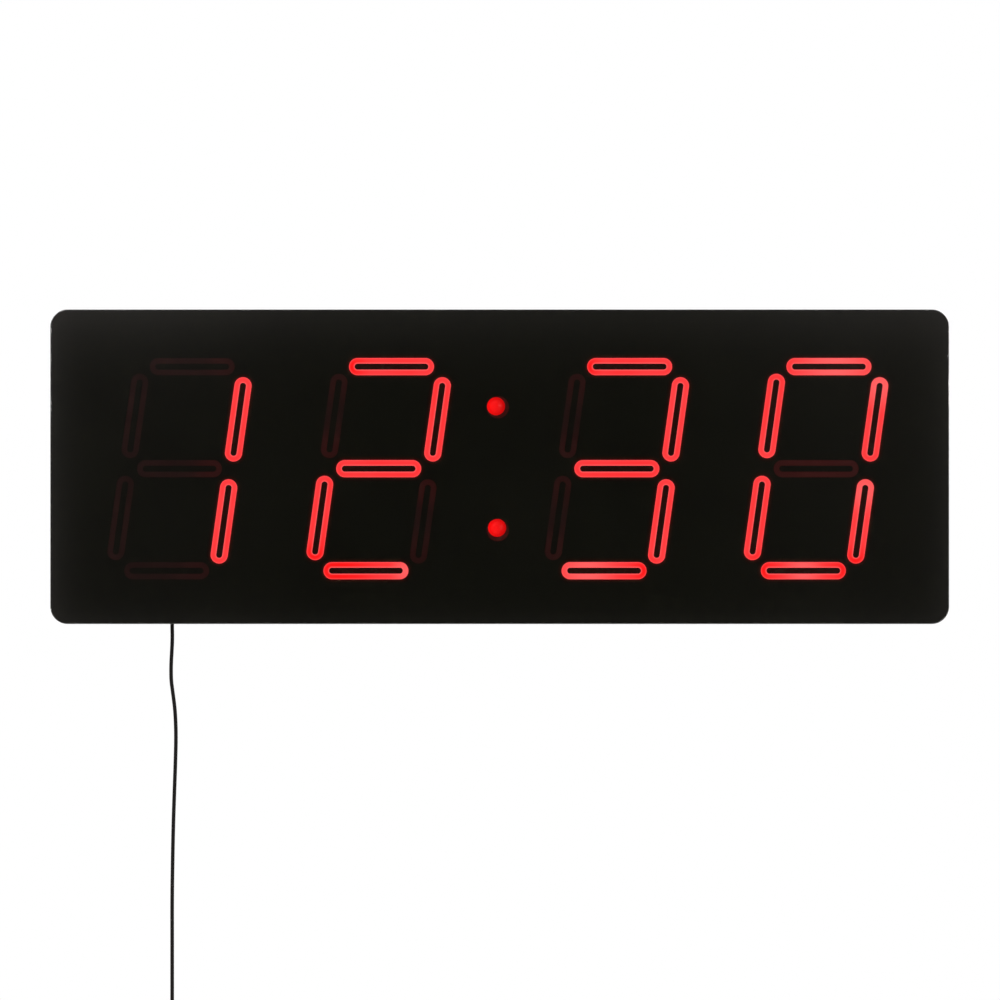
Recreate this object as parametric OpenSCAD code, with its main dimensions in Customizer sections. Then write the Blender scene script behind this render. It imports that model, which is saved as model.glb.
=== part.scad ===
// LED wall clock with slanted outline numerals, its light boxes, boards, keys, backup cell and supply cord.
// Millimetres, +Z up, front towards -Y. The origin is on the wall plane, midway between the two hanger holes.
// Drawings are made round the middle of the panel. Depths count forward from the wall plane.

/* [Segments] */
// Overall length of one segment outline
seg_len = 54; // [46:0.5:62]
// Overall width of one segment outline
seg_w = 11; // [9:0.1:12.5]
// Width of the glowing outline
seg_stroke = 3.6; // [2.6:0.1:4.2]
// Gap between the ends of neighbouring segments
seg_gap = 4.9; // [4.5:0.1:8]
// Lean of the upright segments, in degrees
slant = 8; // [2:0.5:12]
// Sideways shift of the upright segments, the upper ones to the right and the lower ones to the left
upright_out = 0.5; // [0:0.1:1]

/* [Display] */
// Clear width between the two numerals of a pair
digit_gap = 34.8; // [30:0.1:45]
// Clear width between the two pairs, where the colon stands
colon_space = 59.5; // [55:0.1:75]
// Diameter of a colon window
dot_d = 14.2; // [13:0.1:16]
// Diameter of a colon lamp
lamp_d = 11.4; // [10:0.1:12.4]
// Distance between the middles of the two colon windows
dot_spacing = 78; // [60:1:90]
// Sideways shift of the whole display from the middle of the panel
display_shift_x = -1.2; // [-3:0.1:3]
// Upward shift of the whole display from the middle of the panel
display_shift_z = -1.2; // [-3:0.1:3]

/* [Front panel] */
// Panel left over beside the numerals at each end
side_margin = 37.15; // [34:0.05:60]
// Panel left over above and below the numerals
edge_margin = 29.5; // [27:0.5:45]
// Thickness of the front panel
panel_t = 3; // [2:0.1:5]
// Corner radius of the front panel
corner_r = 11; // [8:0.5:18]
// Bevel round the front of the panel
panel_bevel = 0.5; // [0.2:0.1:1]
// Thickness of the printed black layer
mask_t = 0.3; // [0.2:0.05:0.6]
// Thickness of the bonding tape
tape_t = 0.7; // [0.5:0.1:1.2]
// Width of the bonding tape
tape_w = 12; // [8:0.5:14]

/* [Light boxes] */
// Depth of a light box, from its board to the lens fronts
box_depth = 12.4; // [9:0.1:20]
// Wall of a light box
box_wall = 1.5; // [1:0.1:1.6]
// Front plate of a light box
box_plate = 2.6; // [2.2:0.1:4]
// Thickness of a segment lens
lens_t = 2; // [1.5:0.1:3]
// How far a lens reaches past its window on every side
lens_lip = 0.8; // [0.5:0.1:0.9]
// LEDs under one segment
leds_per_seg = 4; // [2:1:6]

/* [Housing] */
// How far the panel stands out past the housing
overhang = 2; // [1:0.5:4]
// Wall of the housing
wall = 2.5; // [2:0.1:3.5]
// Thickness of the front flange
flange_t = 2; // [1.5:0.1:3]
// Thickness of the rear cover
cover_t = 2.5; // [2.2:0.1:4]
// Bevel round the wall side of the rear cover
cover_bevel = 0.8; // [0.4:0.1:1.2]
// Thickness of every printed board
board_t = 1.6; // [1:0.1:2]

/* [Hanging] */
// Distance between the two hanger holes
key_spacing = 360; // [240:5:420]
// Height of the hanger holes above the middle of the panel
hanger_rise = 62; // [55:1:70]
// Diameter of a hanger hole where the screw head goes in
key_entry_d = 9; // [8:0.5:11]
// Width of the hanger slot above it
key_slot_w = 4.6; // [4:0.1:5.5]
// Rise of the screw in the hanger slot
key_slot_l = 9; // [8:0.5:12]

/* [Keys and cell] */
// Diameter of a key cap
key_d = 8; // [6:0.5:9]
// Distance between key caps
key_pitch = 16; // [13:0.5:18]
// Travel of a key
key_travel = 0.5; // [0.2:0.1:0.6]
// Diameter of the backup cell
cell_d = 20; // [16:0.5:20]
// Thickness of the backup cell
cell_t = 3.2; // [1.6:0.1:4]

/* [Supply] */
// Sideways place of the supply jack
jack_x = -210; // [-225:1:-195]
// Side of the square jack body
jack_size = 9; // [8.6:0.1:12]
// Diameter of the plug's barrel
barrel_d = 5.5; // [4.8:0.1:5.6]
// Length of the plug's barrel
barrel_len = 9.5; // [8:0.5:10]
// Diameter of the plug's grip
plug_d = 9; // [8:0.1:10]
// Length of the plug's grip with its tapered tail
plug_len = 34; // [30:0.5:40]
// Diameter of the supply lead
lead_d = 2.4; // [2.2:0.1:2.6]
// Turns in one layer of the tied coil
layer_turns = 3.5; // [3.5:1:4.5]
// Length of the adapter
adapter_len = 62; // [56:1:75]
// Width of the adapter, from wall side to room side
adapter_w = 32; // [30:1:33]
// Thickness of the adapter
adapter_t = 26; // [22:1:32]
// Bevel round the two broad sides of the adapter
adapter_bevel = 1.5; // [0.5:0.1:2.5]

/* [Hidden] */
$fn = 96;
// Numerals shown, and the segments that each numeral lights
SHOWN = [1, 2, 3, 0];
NAMES = "abcdefg";
LIT = ["abcdef", "bc", "abged", "abgcd", "fgbc", "afgcd", "afgedc", "abc", "abcdefg", "abcdfg"];

// Fits: slip between fitted pieces of one body, room round a moving piece, room between layers
slip = 0.1;
room = 0.3;
layer_room = 2;

// Segment layout, from the middle of the middle bar. A knee runs from one round end to the next.
core = seg_len - seg_w;
knee = seg_w + seg_gap;
knee_low = knee * [cos(39), sin(39)];
knee_high = knee * [cos(50), sin(50)];
lean = [sin(slant), cos(slant)];
bar_top = [knee_low[0] - knee_high[0], knee_low[1] + knee_high[1]] + core * lean;
post_near = [core / 2 + knee_low[0] + upright_out, knee_low[1]] + core / 2 * lean;
post_far = [upright_out - core / 2 - knee_high[0], knee_high[1]] + core / 2 * lean;
SEG_AT = [bar_top, post_near, -post_far, -bar_top, -post_near, post_far, [0, 0]];
SEG_TURN = [0, 90 - slant, 90 - slant, 0, 90 - slant, 90 - slant, 0];

// Display and panel sizes
digit_w = 2 * (post_near[0] + core / 2 * lean[0]) + seg_w;
digit_h = 2 * bar_top[1] + seg_w;
digit_step = digit_w + digit_gap;
inner_x = (digit_w + colon_space) / 2;
DIGIT_X = [-inner_x - digit_step, -inner_x, inner_x, inner_x + digit_step];
panel_w = 4 * digit_w + 2 * digit_gap + colon_space + 2 * side_margin;
panel_h = digit_h + 2 * edge_margin;
mask_inset = 0.2;

// Colon: each lamp sits a little off the middle of its window
LAMP_OFF = [[-1.15, 0.65], [-0.45, 1.45]];
DOT_Z = [dot_spacing / 2, -dot_spacing / 2];
dome_h = 2.5;
lamp_base_d = lamp_d + 1;
lamp_base_h = 1.2;
colon_well_d = dot_d + 2.4;
colon_lens_d = colon_well_d + 2 * lens_lip;
colon_plate_w = colon_lens_d + 2 * box_wall + 3;

// Depths, from the wall plane forward
screw_head_h = 1.8;
jack_room = 0.5;
bay_room = 1;
bay_wall = 2;
d_jack = cover_t + jack_room + jack_size / 2;
d_ctrl = cover_t + jack_room + jack_size;
d_ctrl_front = d_ctrl + board_t;
d_bay = d_jack + plug_d / 2 + bay_room + bay_wall;
d_board = max(d_ctrl_front + screw_head_h, d_bay) + layer_room;
d_board_front = d_board + board_t;
d_box = d_board_front + box_depth;
d_mask = d_box + room;
d_panel = d_mask + mask_t;
d_flange = d_mask - tape_t;

// Housing
shell_w = panel_w - 2 * overhang;
shell_h = panel_h - 2 * overhang;
shell_r = corner_r - overhang;
box_edge = 2.8;
box_half_h = digit_h / 2 + box_edge;
box_half_w = max(post_near[0] - post_near[1] * tan(slant), -post_far[0] + post_far[1] * tan(slant))
    + (seg_w / 2 + lens_lip + box_wall) / cos(slant) + 0.7;
box_lean = box_half_h * tan(slant);
opening_w = 2 * (inner_x + digit_step + box_half_w + box_lean + 1.5);
opening_h = 2 * (box_half_h + 1.7);
tape_inset = 1.5;

// Screws
screw_d = 2.2;
screw_len = 7;
pilot_d = screw_d + 0.1;
screw_hole_d = screw_d + 0.8;
screw_head_d = 5;
pilot_depth = screw_len + 1;
cover_screw_d = 2.8;
cover_screw_len = 10;
cover_head_d = 5.6;
cover_sink = 1.4;
cover_head_h = 1.2;
head_bevel = 0.4;
cross_w = 0.7;
cross_share = 0.55;
cross_depth = 0.7;
boss_d = 7;
boss_inset = wall + boss_d / 2 - 1;
boss_mid_x = 95;
BOSSES = [for (x = [-1, 1], z = [-1, 1]) [x * (shell_w / 2 - boss_inset), z * (shell_h / 2 - boss_inset)],
    for (x = [-1, 1], z = [-1, 1]) [x * boss_mid_x, z * (shell_h / 2 - boss_inset)]];

// Numeral boards, on posts above and below the flange opening
post_d = 6.5;
post_z = opening_h / 2 + post_d / 2 + 1.2;
board_w = digit_w + 13;
board_h = 2 * (post_z + 4.5);
post_x = board_w / 2 - 6;
colon_board_w = 26;
peg_d = 3;
peg_len = 2.4;
peg_x = box_half_w - 5;
peg_z = box_half_h - 4.6;
led_l = 3.5;
led_w = 2.8;
led_h = 1.9;

// Sockets and ribbons on the back of the numeral boards
socket_l = 8;
socket_w = 18;
socket_h = 8;
socket_x = board_w / 2 - 14;
socket_z = 30;
SOCKET_X = [DIGIT_X[0] + socket_x, DIGIT_X[1] - socket_x, DIGIT_X[1] + socket_x, 0,
    DIGIT_X[2] - socket_x, DIGIT_X[2] + socket_x, DIGIT_X[3] - socket_x];
LINKS = [[0, 1], [2, 3], [3, 4], [5, 6]];
ribbon_w = 14;
ribbon_t = 0.9;
d_ribbon = (d_board - socket_h + d_ctrl - ribbon_t) / 2;

// Supply plug, jack and bay
bore_d = barrel_d + 0.8;
jack_len = barrel_len + 4.5;
bore_len = barrel_len + 1;
pin_d = 2;
tail_room = 1.5;
jack_z = -panel_h / 2 + tail_room + plug_len;
bay_w = plug_d + 7;
bay_top = jack_z - bay_wall - room;
nose_hole_d = plug_d + 1.2;
tail_d = lead_d + 1.8;
grip_len = plug_len * 0.56;

// Control board, above the bay
ctrl_w = 118;
ctrl_h = 50;
ctrl_x = jack_x + 15;
ctrl_z = jack_z + 0.7 + ctrl_h / 2;
ctrl_post_x = ctrl_w / 2 - 5;
ctrl_post_z = ctrl_h / 2 - 5;
ctrl_post_d = 6;
CTRL_POSTS = [for (x = [-1, 1], z = [-1, 1]) [ctrl_x + x * ctrl_post_x, ctrl_z + z * ctrl_post_z]];
CHIPS = [[-10, 2], [24, 17], [42, 17]];
CHIP_SIZES = [[14, 8, 2.4], [11, 6, 2], [11, 6, 2]];
leg_pitch = 1.6;
leg_w = 0.5;
leg_l = 1.2;
leg_h = 0.9;
CAPACITORS = [[9, -17], [18, -17]];
capacitor_d = 6.3;
capacitor_h = 7.5;
crystal_at = [-10, 13];
crystal_l = 10.5;
crystal_w = 4.4;
crystal_h = 3.4;
header_at = [0, 20];
input_z = socket_z + display_shift_z;

// Keys
key_x = jack_x + 26;
key_z = ctrl_z;
KEY_X = [for (i = [0:2]) key_x + i * key_pitch];
tray_depth = 1.2;
tray_w = key_d + 8;
key_sink = 0.4;
key_flange_d = key_d + 2.4;
key_flange_t = 1;
key_stem_d = 4.5;
key_dish = 0.35;
key_dish_r = 20;
switch_size = 6;
switch_h = 3.5;
plunger_d = 3.5;
plunger_out = 1.5;
plunger_in = 1.4;
d_switch = d_ctrl - switch_h;
d_plunger = d_switch - plunger_out;

// Backup cell and its door
cell_x = jack_x - 24;
cell_z = ctrl_z;
door_sink = 0.2;
door_lip = 1.2;
door_plug_d = cell_d + 4;
lug_d = door_plug_d + 3.4;
lug_w = 7;
lug_t = 1.8;
door_d = lug_d + 3.6;
door_turn = 60;
d_door_end = cover_t + room + lug_t;
d_cell = d_door_end + 0.4;
door_slot_l = 16;
door_slot_w = 2.4;
door_slot_depth = 0.7;
holder_wall = 1.8;
holder_low = 0.6;
clip_w = 5;
clip_t = 0.5;

// Hanger chambers and vents
chamber_w = key_entry_d + 6;
chamber_l = key_entry_d + key_slot_l + 6;
chamber_h = 5;
chamber_wall = 1.4;
VENT_X = [-100, 100];
VENT_Z = [-48, 48];
vent_count = 9;
vent_pitch = 8;
vent_w = 3;
vent_l = 36;
cover_lip_l = 70;
cover_lip_h = 3;
cover_lip_t = 1.5;
LIP_X = [-190, 0, 190];
rib_h = 2.5;
rib_t = 1.6;
rib_l = 160;
RIB_SPAN = [-118, 270];
RIB_X = [0, 160, 220];

// Lead: the hand-chosen route hangs from the plug's tail, as [sideways, drop]
lead_drop = 268;
ROUTE = [[0, 0], [0, 4], [0.1, 10], [0, 15], [-0.3, 21], [-0.6, 27], [-0.7, 33], [-0.5, 39], [0.1, 44],
    [0.9, 50], [1.7, 57], [2.2, 65], [2.4, 75], [2.1, 90], [1.5, 108], [0.8, 130], [0.3, 155],
    [0, 180], [0, 205], [0, 230], [0, 250], [0, lead_drop]];
tail_z = jack_z - plug_len;
rings_per_span = 2;
lead_sides = 8;

// Coil: four layers, wound in and out, climbing a layer in the half turn where the spiral reverses
coil_pitch = lead_d + 0.5;
coil_mid_r = 5.5 * lead_d;
coil_out_r = coil_mid_r + coil_pitch * layer_turns / 2;
coil_layers = 4;
coil_sides = 6;
rings_per_turn = 24;
coil_turns = coil_layers * layer_turns;
coil_straight = lead_d + 0.6;
coil_z = tail_z - lead_drop - coil_straight;
coil_in_r = coil_out_r - coil_pitch * layer_turns;

// Tie round the coil, short lead below it and adapter
tie_h = 8;
tie_t = 1.2;
tie_bow = coil_in_r - sqrt(pow(coil_in_r, 2) - pow(tie_h / 2, 2));
tie_x0 = -coil_pitch * (layer_turns - 0.5) - lead_d / 2 - tie_bow - room;
tie_x1 = lead_d / 2 + room;
tie_y = coil_pitch * (coil_layers - 1) + lead_d + 2 * room;
d_coil_end = d_jack + coil_pitch * (coil_layers - 1);
drop_len = 26;
relief_len = 20;
adapter_z = coil_z - coil_straight - drop_len - relief_len;
adapter_r = 5;
lid_t = 8;
grip_count = 6;
grip_pitch = 3.2;
grip_w = 1.4;
grip_depth = 0.6;
grip_z = -adapter_len * 0.35;
prong_d = 4;
prong_len = 19;
prong_gap = 18.6;
prong_tip = 1.2;
prong_z = adapter_z - adapter_len * 0.6;

// Shared frame and drawing helpers

// Moves a drawing made round the middle of the panel into the shared frame
module placed() {
    translate([0, 0, -hanger_rise]) children();
}

// Extrudes a drawing in X and Z forward from a depth
module slab(depth, thick) {
    translate([0, -depth, 0]) rotate([90, 0, 0]) linear_extrude(thick) children();
}

// The same, drawn round the middle of the display
module display(depth, thick) {
    slab(depth, thick) translate([display_shift_x, display_shift_z]) children();
}

module rounded(w, h, r) {
    square([w - 2 * r, h], center = true);
    square([w, h - 2 * r], center = true);
    for (x = [-1, 1], z = [-1, 1]) translate([x * (w / 2 - r), z * (h / 2 - r)]) circle(r);
}

// Half of a bevelled plate's section, from its middle out to a reach
function plate_half(reach, t, low, high) = concat(
    [[0, 0]],
    low > 0 ? [[reach - low, 0], [reach, low]] : [[reach, 0]],
    high > 0 ? [[reach, t - high], [reach - high, t]] : [[reach, t]],
    [[0, t]]);

// A plate with round corners from the origin up, its lower and upper edges bevelled
module bevelled(w, h, r, t, low, high) {
    for (turn = [0, 180]) rotate(turn) {
        translate([0, h / 2 - r, 0]) rotate([90, 0, 0]) linear_extrude(h - 2 * r)
            polygon(plate_half(w / 2, t, low, high));
        translate([r - w / 2, h / 2 - r, 0]) rotate([90, 0, 90]) linear_extrude(w - 2 * r)
            polygon(plate_half(r, t, low, high));
        for (side = [-1, 1]) translate([side * (w / 2 - r), h / 2 - r, 0]) rotate(45 - 45 * side)
            rotate_extrude(angle = 90) polygon(plate_half(r, t, low, high));
    }
}

// The same, standing in X and Z with its lower face at a depth and its upper face in front of that
module bevelled_slab(depth, w, h, r, t, low, high) {
    translate([0, -depth, 0]) rotate([90, 0, 0]) bevelled(w, h, r, t, low, high);
}

module stadium(l, w) {
    square([l - w, w], center = true);
    for (x = [-1, 1]) translate([x * (l - w) / 2, 0]) circle(d = w);
}

// Segments

function is_lit(digit, s) = len(search(NAMES[s], LIT[SHOWN[digit]])) > 0;

module segment(s, grow) {
    translate(SEG_AT[s]) rotate(SEG_TURN[s]) stadium(seg_len + 2 * grow, seg_w + 2 * grow);
}

module all_segments(grow) {
    for (x = DIGIT_X, s = [0:6]) translate([x, 0]) segment(s, grow);
}

// Front: panel, printed layer and tape

module front_panel() {
    color("#101112") placed() bevelled_slab(d_panel, panel_w, panel_h, corner_r, panel_t, 0, panel_bevel);
}

module printed_mask() {
    color("#050505") placed() {
        difference() {
            slab(d_mask, mask_t)
                rounded(panel_w - 2 * mask_inset, panel_h - 2 * mask_inset, corner_r - mask_inset);
            display(d_mask - 1, mask_t + 2) {
                all_segments(0);
                dots(dot_d);
            }
        }
        display(d_mask, mask_t) all_segments(-seg_stroke);
    }
}

module tape_ring(inset) {
    rounded(shell_w - 2 * inset, shell_h - 2 * inset, shell_r - tape_inset);
}

module bonding_tape() {
    color("#404040") placed() slab(d_flange, tape_t) difference() {
        tape_ring(tape_inset);
        tape_ring(tape_inset + tape_w);
    }
}

// Housing

module board_posts(d) {
    for (x = DIGIT_X, sx = [-1, 1], sz = [-1, 1]) translate([x + sx * post_x, sz * post_z]) circle(d = d);
    for (sz = [-1, 1]) translate([0, sz * post_z]) circle(d = d);
}

module cover_bosses(d) {
    for (p = BOSSES) translate(p) circle(d = d);
}

module housing_shell() {
    color("#17181a") placed() difference() {
        union() {
            slab(cover_t, d_flange - cover_t) difference() {
                rounded(shell_w, shell_h, shell_r);
                rounded(shell_w - 2 * wall, shell_h - 2 * wall, shell_r - wall);
            }
            slab(d_flange - flange_t, flange_t) difference() {
                rounded(shell_w - wall, shell_h - wall, shell_r - wall / 2);
                translate([display_shift_x, display_shift_z]) square([opening_w, opening_h], center = true);
            }
            display(d_board_front, d_flange - flange_t - d_board_front) board_posts(post_d);
            slab(cover_t, d_flange - flange_t - cover_t) cover_bosses(boss_d);
        }
        display(d_board_front - 1, pilot_depth - board_t + 1) board_posts(pilot_d);
        slab(cover_t - 1, cover_screw_len + 1) cover_bosses(cover_screw_d + 0.1);
        slab(cover_t - 1, d_bay + room + 1 - cover_t) translate([jack_x, -shell_h / 2])
            square([bay_w + 2 * bay_wall + 2 * room, 4 * wall], center = true);
    }
}

// Rear cover

module at_keyholes() {
    for (x = [-1, 1]) translate([x * key_spacing / 2, hanger_rise]) children();
}

module keyhole() {
    circle(d = key_entry_d);
    translate([-key_slot_w / 2, 0]) square([key_slot_w, key_slot_l]);
    translate([0, key_slot_l]) circle(d = key_slot_w);
}

module chamber(grow) {
    translate([0, key_slot_l / 2]) square([chamber_w + 2 * grow, chamber_l + 2 * grow], center = true);
}

module at_ctrl_posts() {
    for (p = CTRL_POSTS) translate(p) children();
}

// The plug's bay, drawn down to the housing's lower edge or past it
module bay(grow, past) {
    translate([jack_x - bay_w / 2 - grow, -shell_h / 2 - past])
        square([bay_w + 2 * grow, bay_top + grow + shell_h / 2 + past]);
}

module cover_lips() {
    for (x = LIP_X, z = [-1, 1]) {
        clear_of_bay = abs(x - jack_x) > cover_lip_l || z > 0;
        if (clear_of_bay) translate([x, z * (shell_h / 2 - wall - room - cover_lip_t / 2)])
            square([cover_lip_l, cover_lip_t], center = true);
    }
}

// Ribs that stiffen the open field of the cover beside the control board
module cover_ribs() {
    translate([(RIB_SPAN[0] + RIB_SPAN[1]) / 2, 0]) square([RIB_SPAN[1] - RIB_SPAN[0], rib_t], center = true);
    for (x = RIB_X) translate([x, 0]) square([rib_t, rib_l], center = true);
}

module vents() {
    for (x = VENT_X, z = VENT_Z, i = [0:vent_count - 1])
        translate([x + (i - (vent_count - 1) / 2) * vent_pitch, z]) rotate(90) stadium(vent_l, vent_w);
}

module cover_blank() {
    bevelled_slab(0, shell_w, shell_h, shell_r, cover_t, cover_bevel, 0);
    slab(0, d_bay) bay(bay_wall, 0);
    slab(cover_t - 1, rib_h + 1) cover_ribs();
    slab(cover_t - 1, chamber_h + chamber_wall + 1) at_keyholes() chamber(chamber_wall);
    slab(cover_t - 1, d_ctrl - cover_t + 1) at_ctrl_posts() circle(d = ctrl_post_d);
    slab(cover_t - 1, cover_lip_h + 1) cover_lips();
}

module cover_cuts() {
    slab(-1, d_bay - bay_wall + 1) bay(0, 1);
    slab(cover_t, chamber_h) at_keyholes() chamber(0);
    slab(-1, cover_t + 2) at_keyholes() keyhole();
    slab(-1, cover_t + 2) vents();
    slab(-1, cover_t + 2) cover_bosses(cover_screw_d + 0.6);
    slab(-1, cover_sink + 1) cover_bosses(cover_head_d + 0.8);
    slab(d_ctrl - pilot_depth + board_t, pilot_depth) at_ctrl_posts() circle(d = pilot_d);
    translate([jack_x, -d_jack, bay_top - 1]) cylinder(d = nose_hole_d, h = bay_wall + 2);
    slab(-1, tray_depth + 1) translate([KEY_X[1], key_z]) stadium(2 * key_pitch + tray_w, tray_w);
    slab(-1, cover_t + 2) for (x = KEY_X) translate([x, key_z]) circle(d = key_d + 2 * room);
    slab(-1, door_sink + door_lip + room + 1) translate([cell_x, cell_z]) circle(d = door_d + 2 * room);
    slab(-1, cover_t + 2) translate([cell_x, cell_z]) {
        circle(d = door_plug_d + 2 * room);
        rotate(door_turn) intersection() {
            circle(d = lug_d + 2 * room);
            square([2 * lug_d, lug_w + 2 * room], center = true);
        }
    }
}

module rear_cover() {
    color("#1b1c1e") placed() difference() {
        cover_blank();
        cover_cuts();
    }
}

// Screws

// A bevelled head with a cross recess, at the origin with its shank running up
module screw(d, len, head_d, head_h) {
    difference() {
        union() {
            cylinder(d1 = head_d - 2 * head_bevel, d2 = head_d, h = head_bevel);
            translate([0, 0, head_bevel]) cylinder(d = head_d, h = head_h - head_bevel);
            cylinder(d = d, h = head_h + len);
        }
        translate([0, 0, -1]) linear_extrude(cross_depth + 1) for (turn = [0, 90]) rotate(turn)
            square([head_d * cross_share, cross_w], center = true);
    }
}

// A screw whose head's outer face is at a depth, driven forward, or backward from a board's front
module screw_forward(depth, d, len, head_d, head_h) {
    translate([0, -depth, 0]) rotate([90, 0, 0]) screw(d, len, head_d, head_h);
}

module screw_backward(depth, d, len, head_d, head_h) {
    translate([0, -depth, 0]) rotate([-90, 0, 0]) screw(d, len, head_d, head_h);
}

module cover_screws() {
    color("#3a3c40") placed() for (p = BOSSES) translate([p[0], 0, p[1]])
        screw_forward(cover_sink - cover_head_h, cover_screw_d, cover_screw_len, cover_head_d, cover_head_h);
}

module board_screws() {
    color("#a9adb3") placed() {
        translate([display_shift_x, 0, display_shift_z]) {
            for (x = DIGIT_X, sx = [-1, 1], sz = [-1, 1]) translate([x + sx * post_x, 0, sz * post_z])
                screw_forward(d_board - screw_head_h, screw_d, screw_len, screw_head_d, screw_head_h);
            for (sz = [-1, 1]) translate([0, 0, sz * post_z])
                screw_forward(d_board - screw_head_h, screw_d, screw_len, screw_head_d, screw_head_h);
        }
        for (p = CTRL_POSTS) translate([p[0], 0, p[1]])
            screw_backward(d_ctrl_front + screw_head_h, screw_d, screw_len, screw_head_d, screw_head_h);
    }
}

// Numerals: light boxes, lenses, boards and LEDs

module box_outline() {
    polygon([[-box_half_w - box_lean, -box_half_h], [box_half_w - box_lean, -box_half_h],
        [box_half_w + box_lean, box_half_h], [-box_half_w + box_lean, box_half_h]]);
}

module pegs(d) {
    for (x = [-1, 1], z = [-1, 1]) translate([x * peg_x + z * peg_z * tan(slant), z * peg_z]) circle(d = d);
}

module light_box(digit) {
    color("#eceae4") placed() translate([DIGIT_X[digit], 0, 0]) difference() {
        union() {
            display(d_box - box_plate, box_plate) box_outline();
            display(d_board_front, box_depth) for (s = [0:6]) segment(s, lens_lip + box_wall);
            display(d_board_front - peg_len, box_depth + peg_len - box_plate / 2) pegs(peg_d);
        }
        display(d_board_front - 1, box_depth + 2) for (s = [0:6]) segment(s, 0);
        display(d_box - lens_t, lens_t + 1) for (s = [0:6]) segment(s, lens_lip + slip);
    }
}

module bars(digit, lit) {
    color(lit ? "#ff3136" : "#2c1214") placed() translate([DIGIT_X[digit], 0, 0])
        display(d_box - lens_t, lens_t) for (s = [0:6]) if (is_lit(digit, s) == lit) segment(s, lens_lip);
}

module digit_board(digit) {
    color("#1f5a36") placed() translate([DIGIT_X[digit], 0, 0]) display(d_board, board_t) difference() {
        square([board_w, board_h], center = true);
        for (x = [-1, 1], z = [-1, 1]) translate([x * post_x, z * post_z]) circle(d = screw_hole_d);
        pegs(peg_d + 2 * slip);
    }
}

module digit_leds(digit) {
    step = core / leds_per_seg;
    color("#f3ead2") placed() translate([DIGIT_X[digit], 0, 0]) display(d_board_front, led_h)
        for (s = [0:6], i = [0:leds_per_seg - 1]) translate(SEG_AT[s]) rotate(SEG_TURN[s])
            translate([(i - (leds_per_seg - 1) / 2) * step, 0]) square([led_l, led_w], center = true);
}

module digit_1_light_box() { light_box(0); }
module digit_2_light_box() { light_box(1); }
module digit_3_light_box() { light_box(2); }
module digit_4_light_box() { light_box(3); }
module digit_1_lit_bars() { bars(0, true); }
module digit_2_lit_bars() { bars(1, true); }
module digit_3_lit_bars() { bars(2, true); }
module digit_4_lit_bars() { bars(3, true); }
module digit_1_dark_bars() { bars(0, false); }
module digit_2_dark_bars() { bars(1, false); }
module digit_3_dark_bars() { bars(2, false); }
module digit_4_dark_bars() { bars(3, false); }
module digit_1_board() { digit_board(0); }
module digit_2_board() { digit_board(1); }
module digit_3_board() { digit_board(2); }
module digit_4_board() { digit_board(3); }
module digit_1_leds() { digit_leds(0); }
module digit_2_leds() { digit_leds(1); }
module digit_3_leds() { digit_leds(2); }
module digit_4_leds() { digit_leds(3); }

// Colon

module dots(d) {
    for (z = DOT_Z) translate([0, z]) circle(d = d);
}

module colon_light_box() {
    color("#eceae4") placed() difference() {
        union() {
            display(d_box - box_plate, box_plate)
                rounded(colon_plate_w, dot_spacing + colon_plate_w, colon_plate_w / 4);
            display(d_board_front, box_depth) dots(colon_lens_d + 2 * box_wall);
        }
        display(d_board_front - 1, box_depth + 2) dots(colon_well_d);
        display(d_box - lens_t, lens_t + 1) dots(colon_lens_d + 2 * slip);
    }
}

module colon_lenses() {
    color("#2c1214") placed() display(d_box - lens_t, lens_t) for (i = [0, 1]) translate([0, DOT_Z[i]])
        difference() {
            circle(d = colon_lens_d);
            translate(LAMP_OFF[i]) circle(d = lamp_d + 2 * slip);
        }
}

module colon_lamps() {
    lamp_h = box_depth - room;
    dome_r = (pow(lamp_d / 2, 2) + pow(dome_h, 2)) / (2 * dome_h);
    color("#ff1418") placed() translate([display_shift_x, 0, display_shift_z]) for (i = [0, 1])
        translate([LAMP_OFF[i][0], -d_board_front, DOT_Z[i] + LAMP_OFF[i][1]]) rotate([90, 0, 0]) {
            cylinder(d = lamp_base_d, h = lamp_base_h);
            intersection() {
                cylinder(d = lamp_d, h = lamp_h + 1);
                translate([0, 0, lamp_h - dome_r]) sphere(dome_r);
            }
            cylinder(d = lamp_d, h = lamp_h - dome_h);
        }
}

module colon_board() {
    color("#1f5a36") placed() display(d_board, board_t) difference() {
        square([colon_board_w, board_h], center = true);
        for (z = [-1, 1]) translate([0, z * post_z]) circle(d = screw_hole_d);
    }
}

// Control board and what stands on it

module on_ctrl(depth, thick) {
    slab(depth, thick) translate([ctrl_x, ctrl_z]) children();
}

module control_board() {
    color("#1f5a36") placed() difference() {
        on_ctrl(d_ctrl, board_t) square([ctrl_w, ctrl_h], center = true);
        slab(d_ctrl - 1, board_t + 2) at_ctrl_posts() circle(d = screw_hole_d);
    }
}

module control_chips() {
    color("#151515") placed() for (i = [0:len(CHIPS) - 1]) {
        on_ctrl(d_ctrl - CHIP_SIZES[i][2], CHIP_SIZES[i][2]) translate(CHIPS[i])
            square([CHIP_SIZES[i][0], CHIP_SIZES[i][1]], center = true);
        count = floor(CHIP_SIZES[i][0] / leg_pitch) - 1;
        on_ctrl(d_ctrl - leg_h, leg_h) translate(CHIPS[i]) for (k = [0:count - 1])
            translate([(k - (count - 1) / 2) * leg_pitch, 0])
                square([leg_w, CHIP_SIZES[i][1] + 2 * leg_l], center = true);
    }
}

module capacitors() {
    color("#6f7680") placed() for (p = CAPACITORS)
        on_ctrl(d_ctrl - capacitor_h, capacitor_h) translate(p) circle(d = capacitor_d);
}

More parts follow.
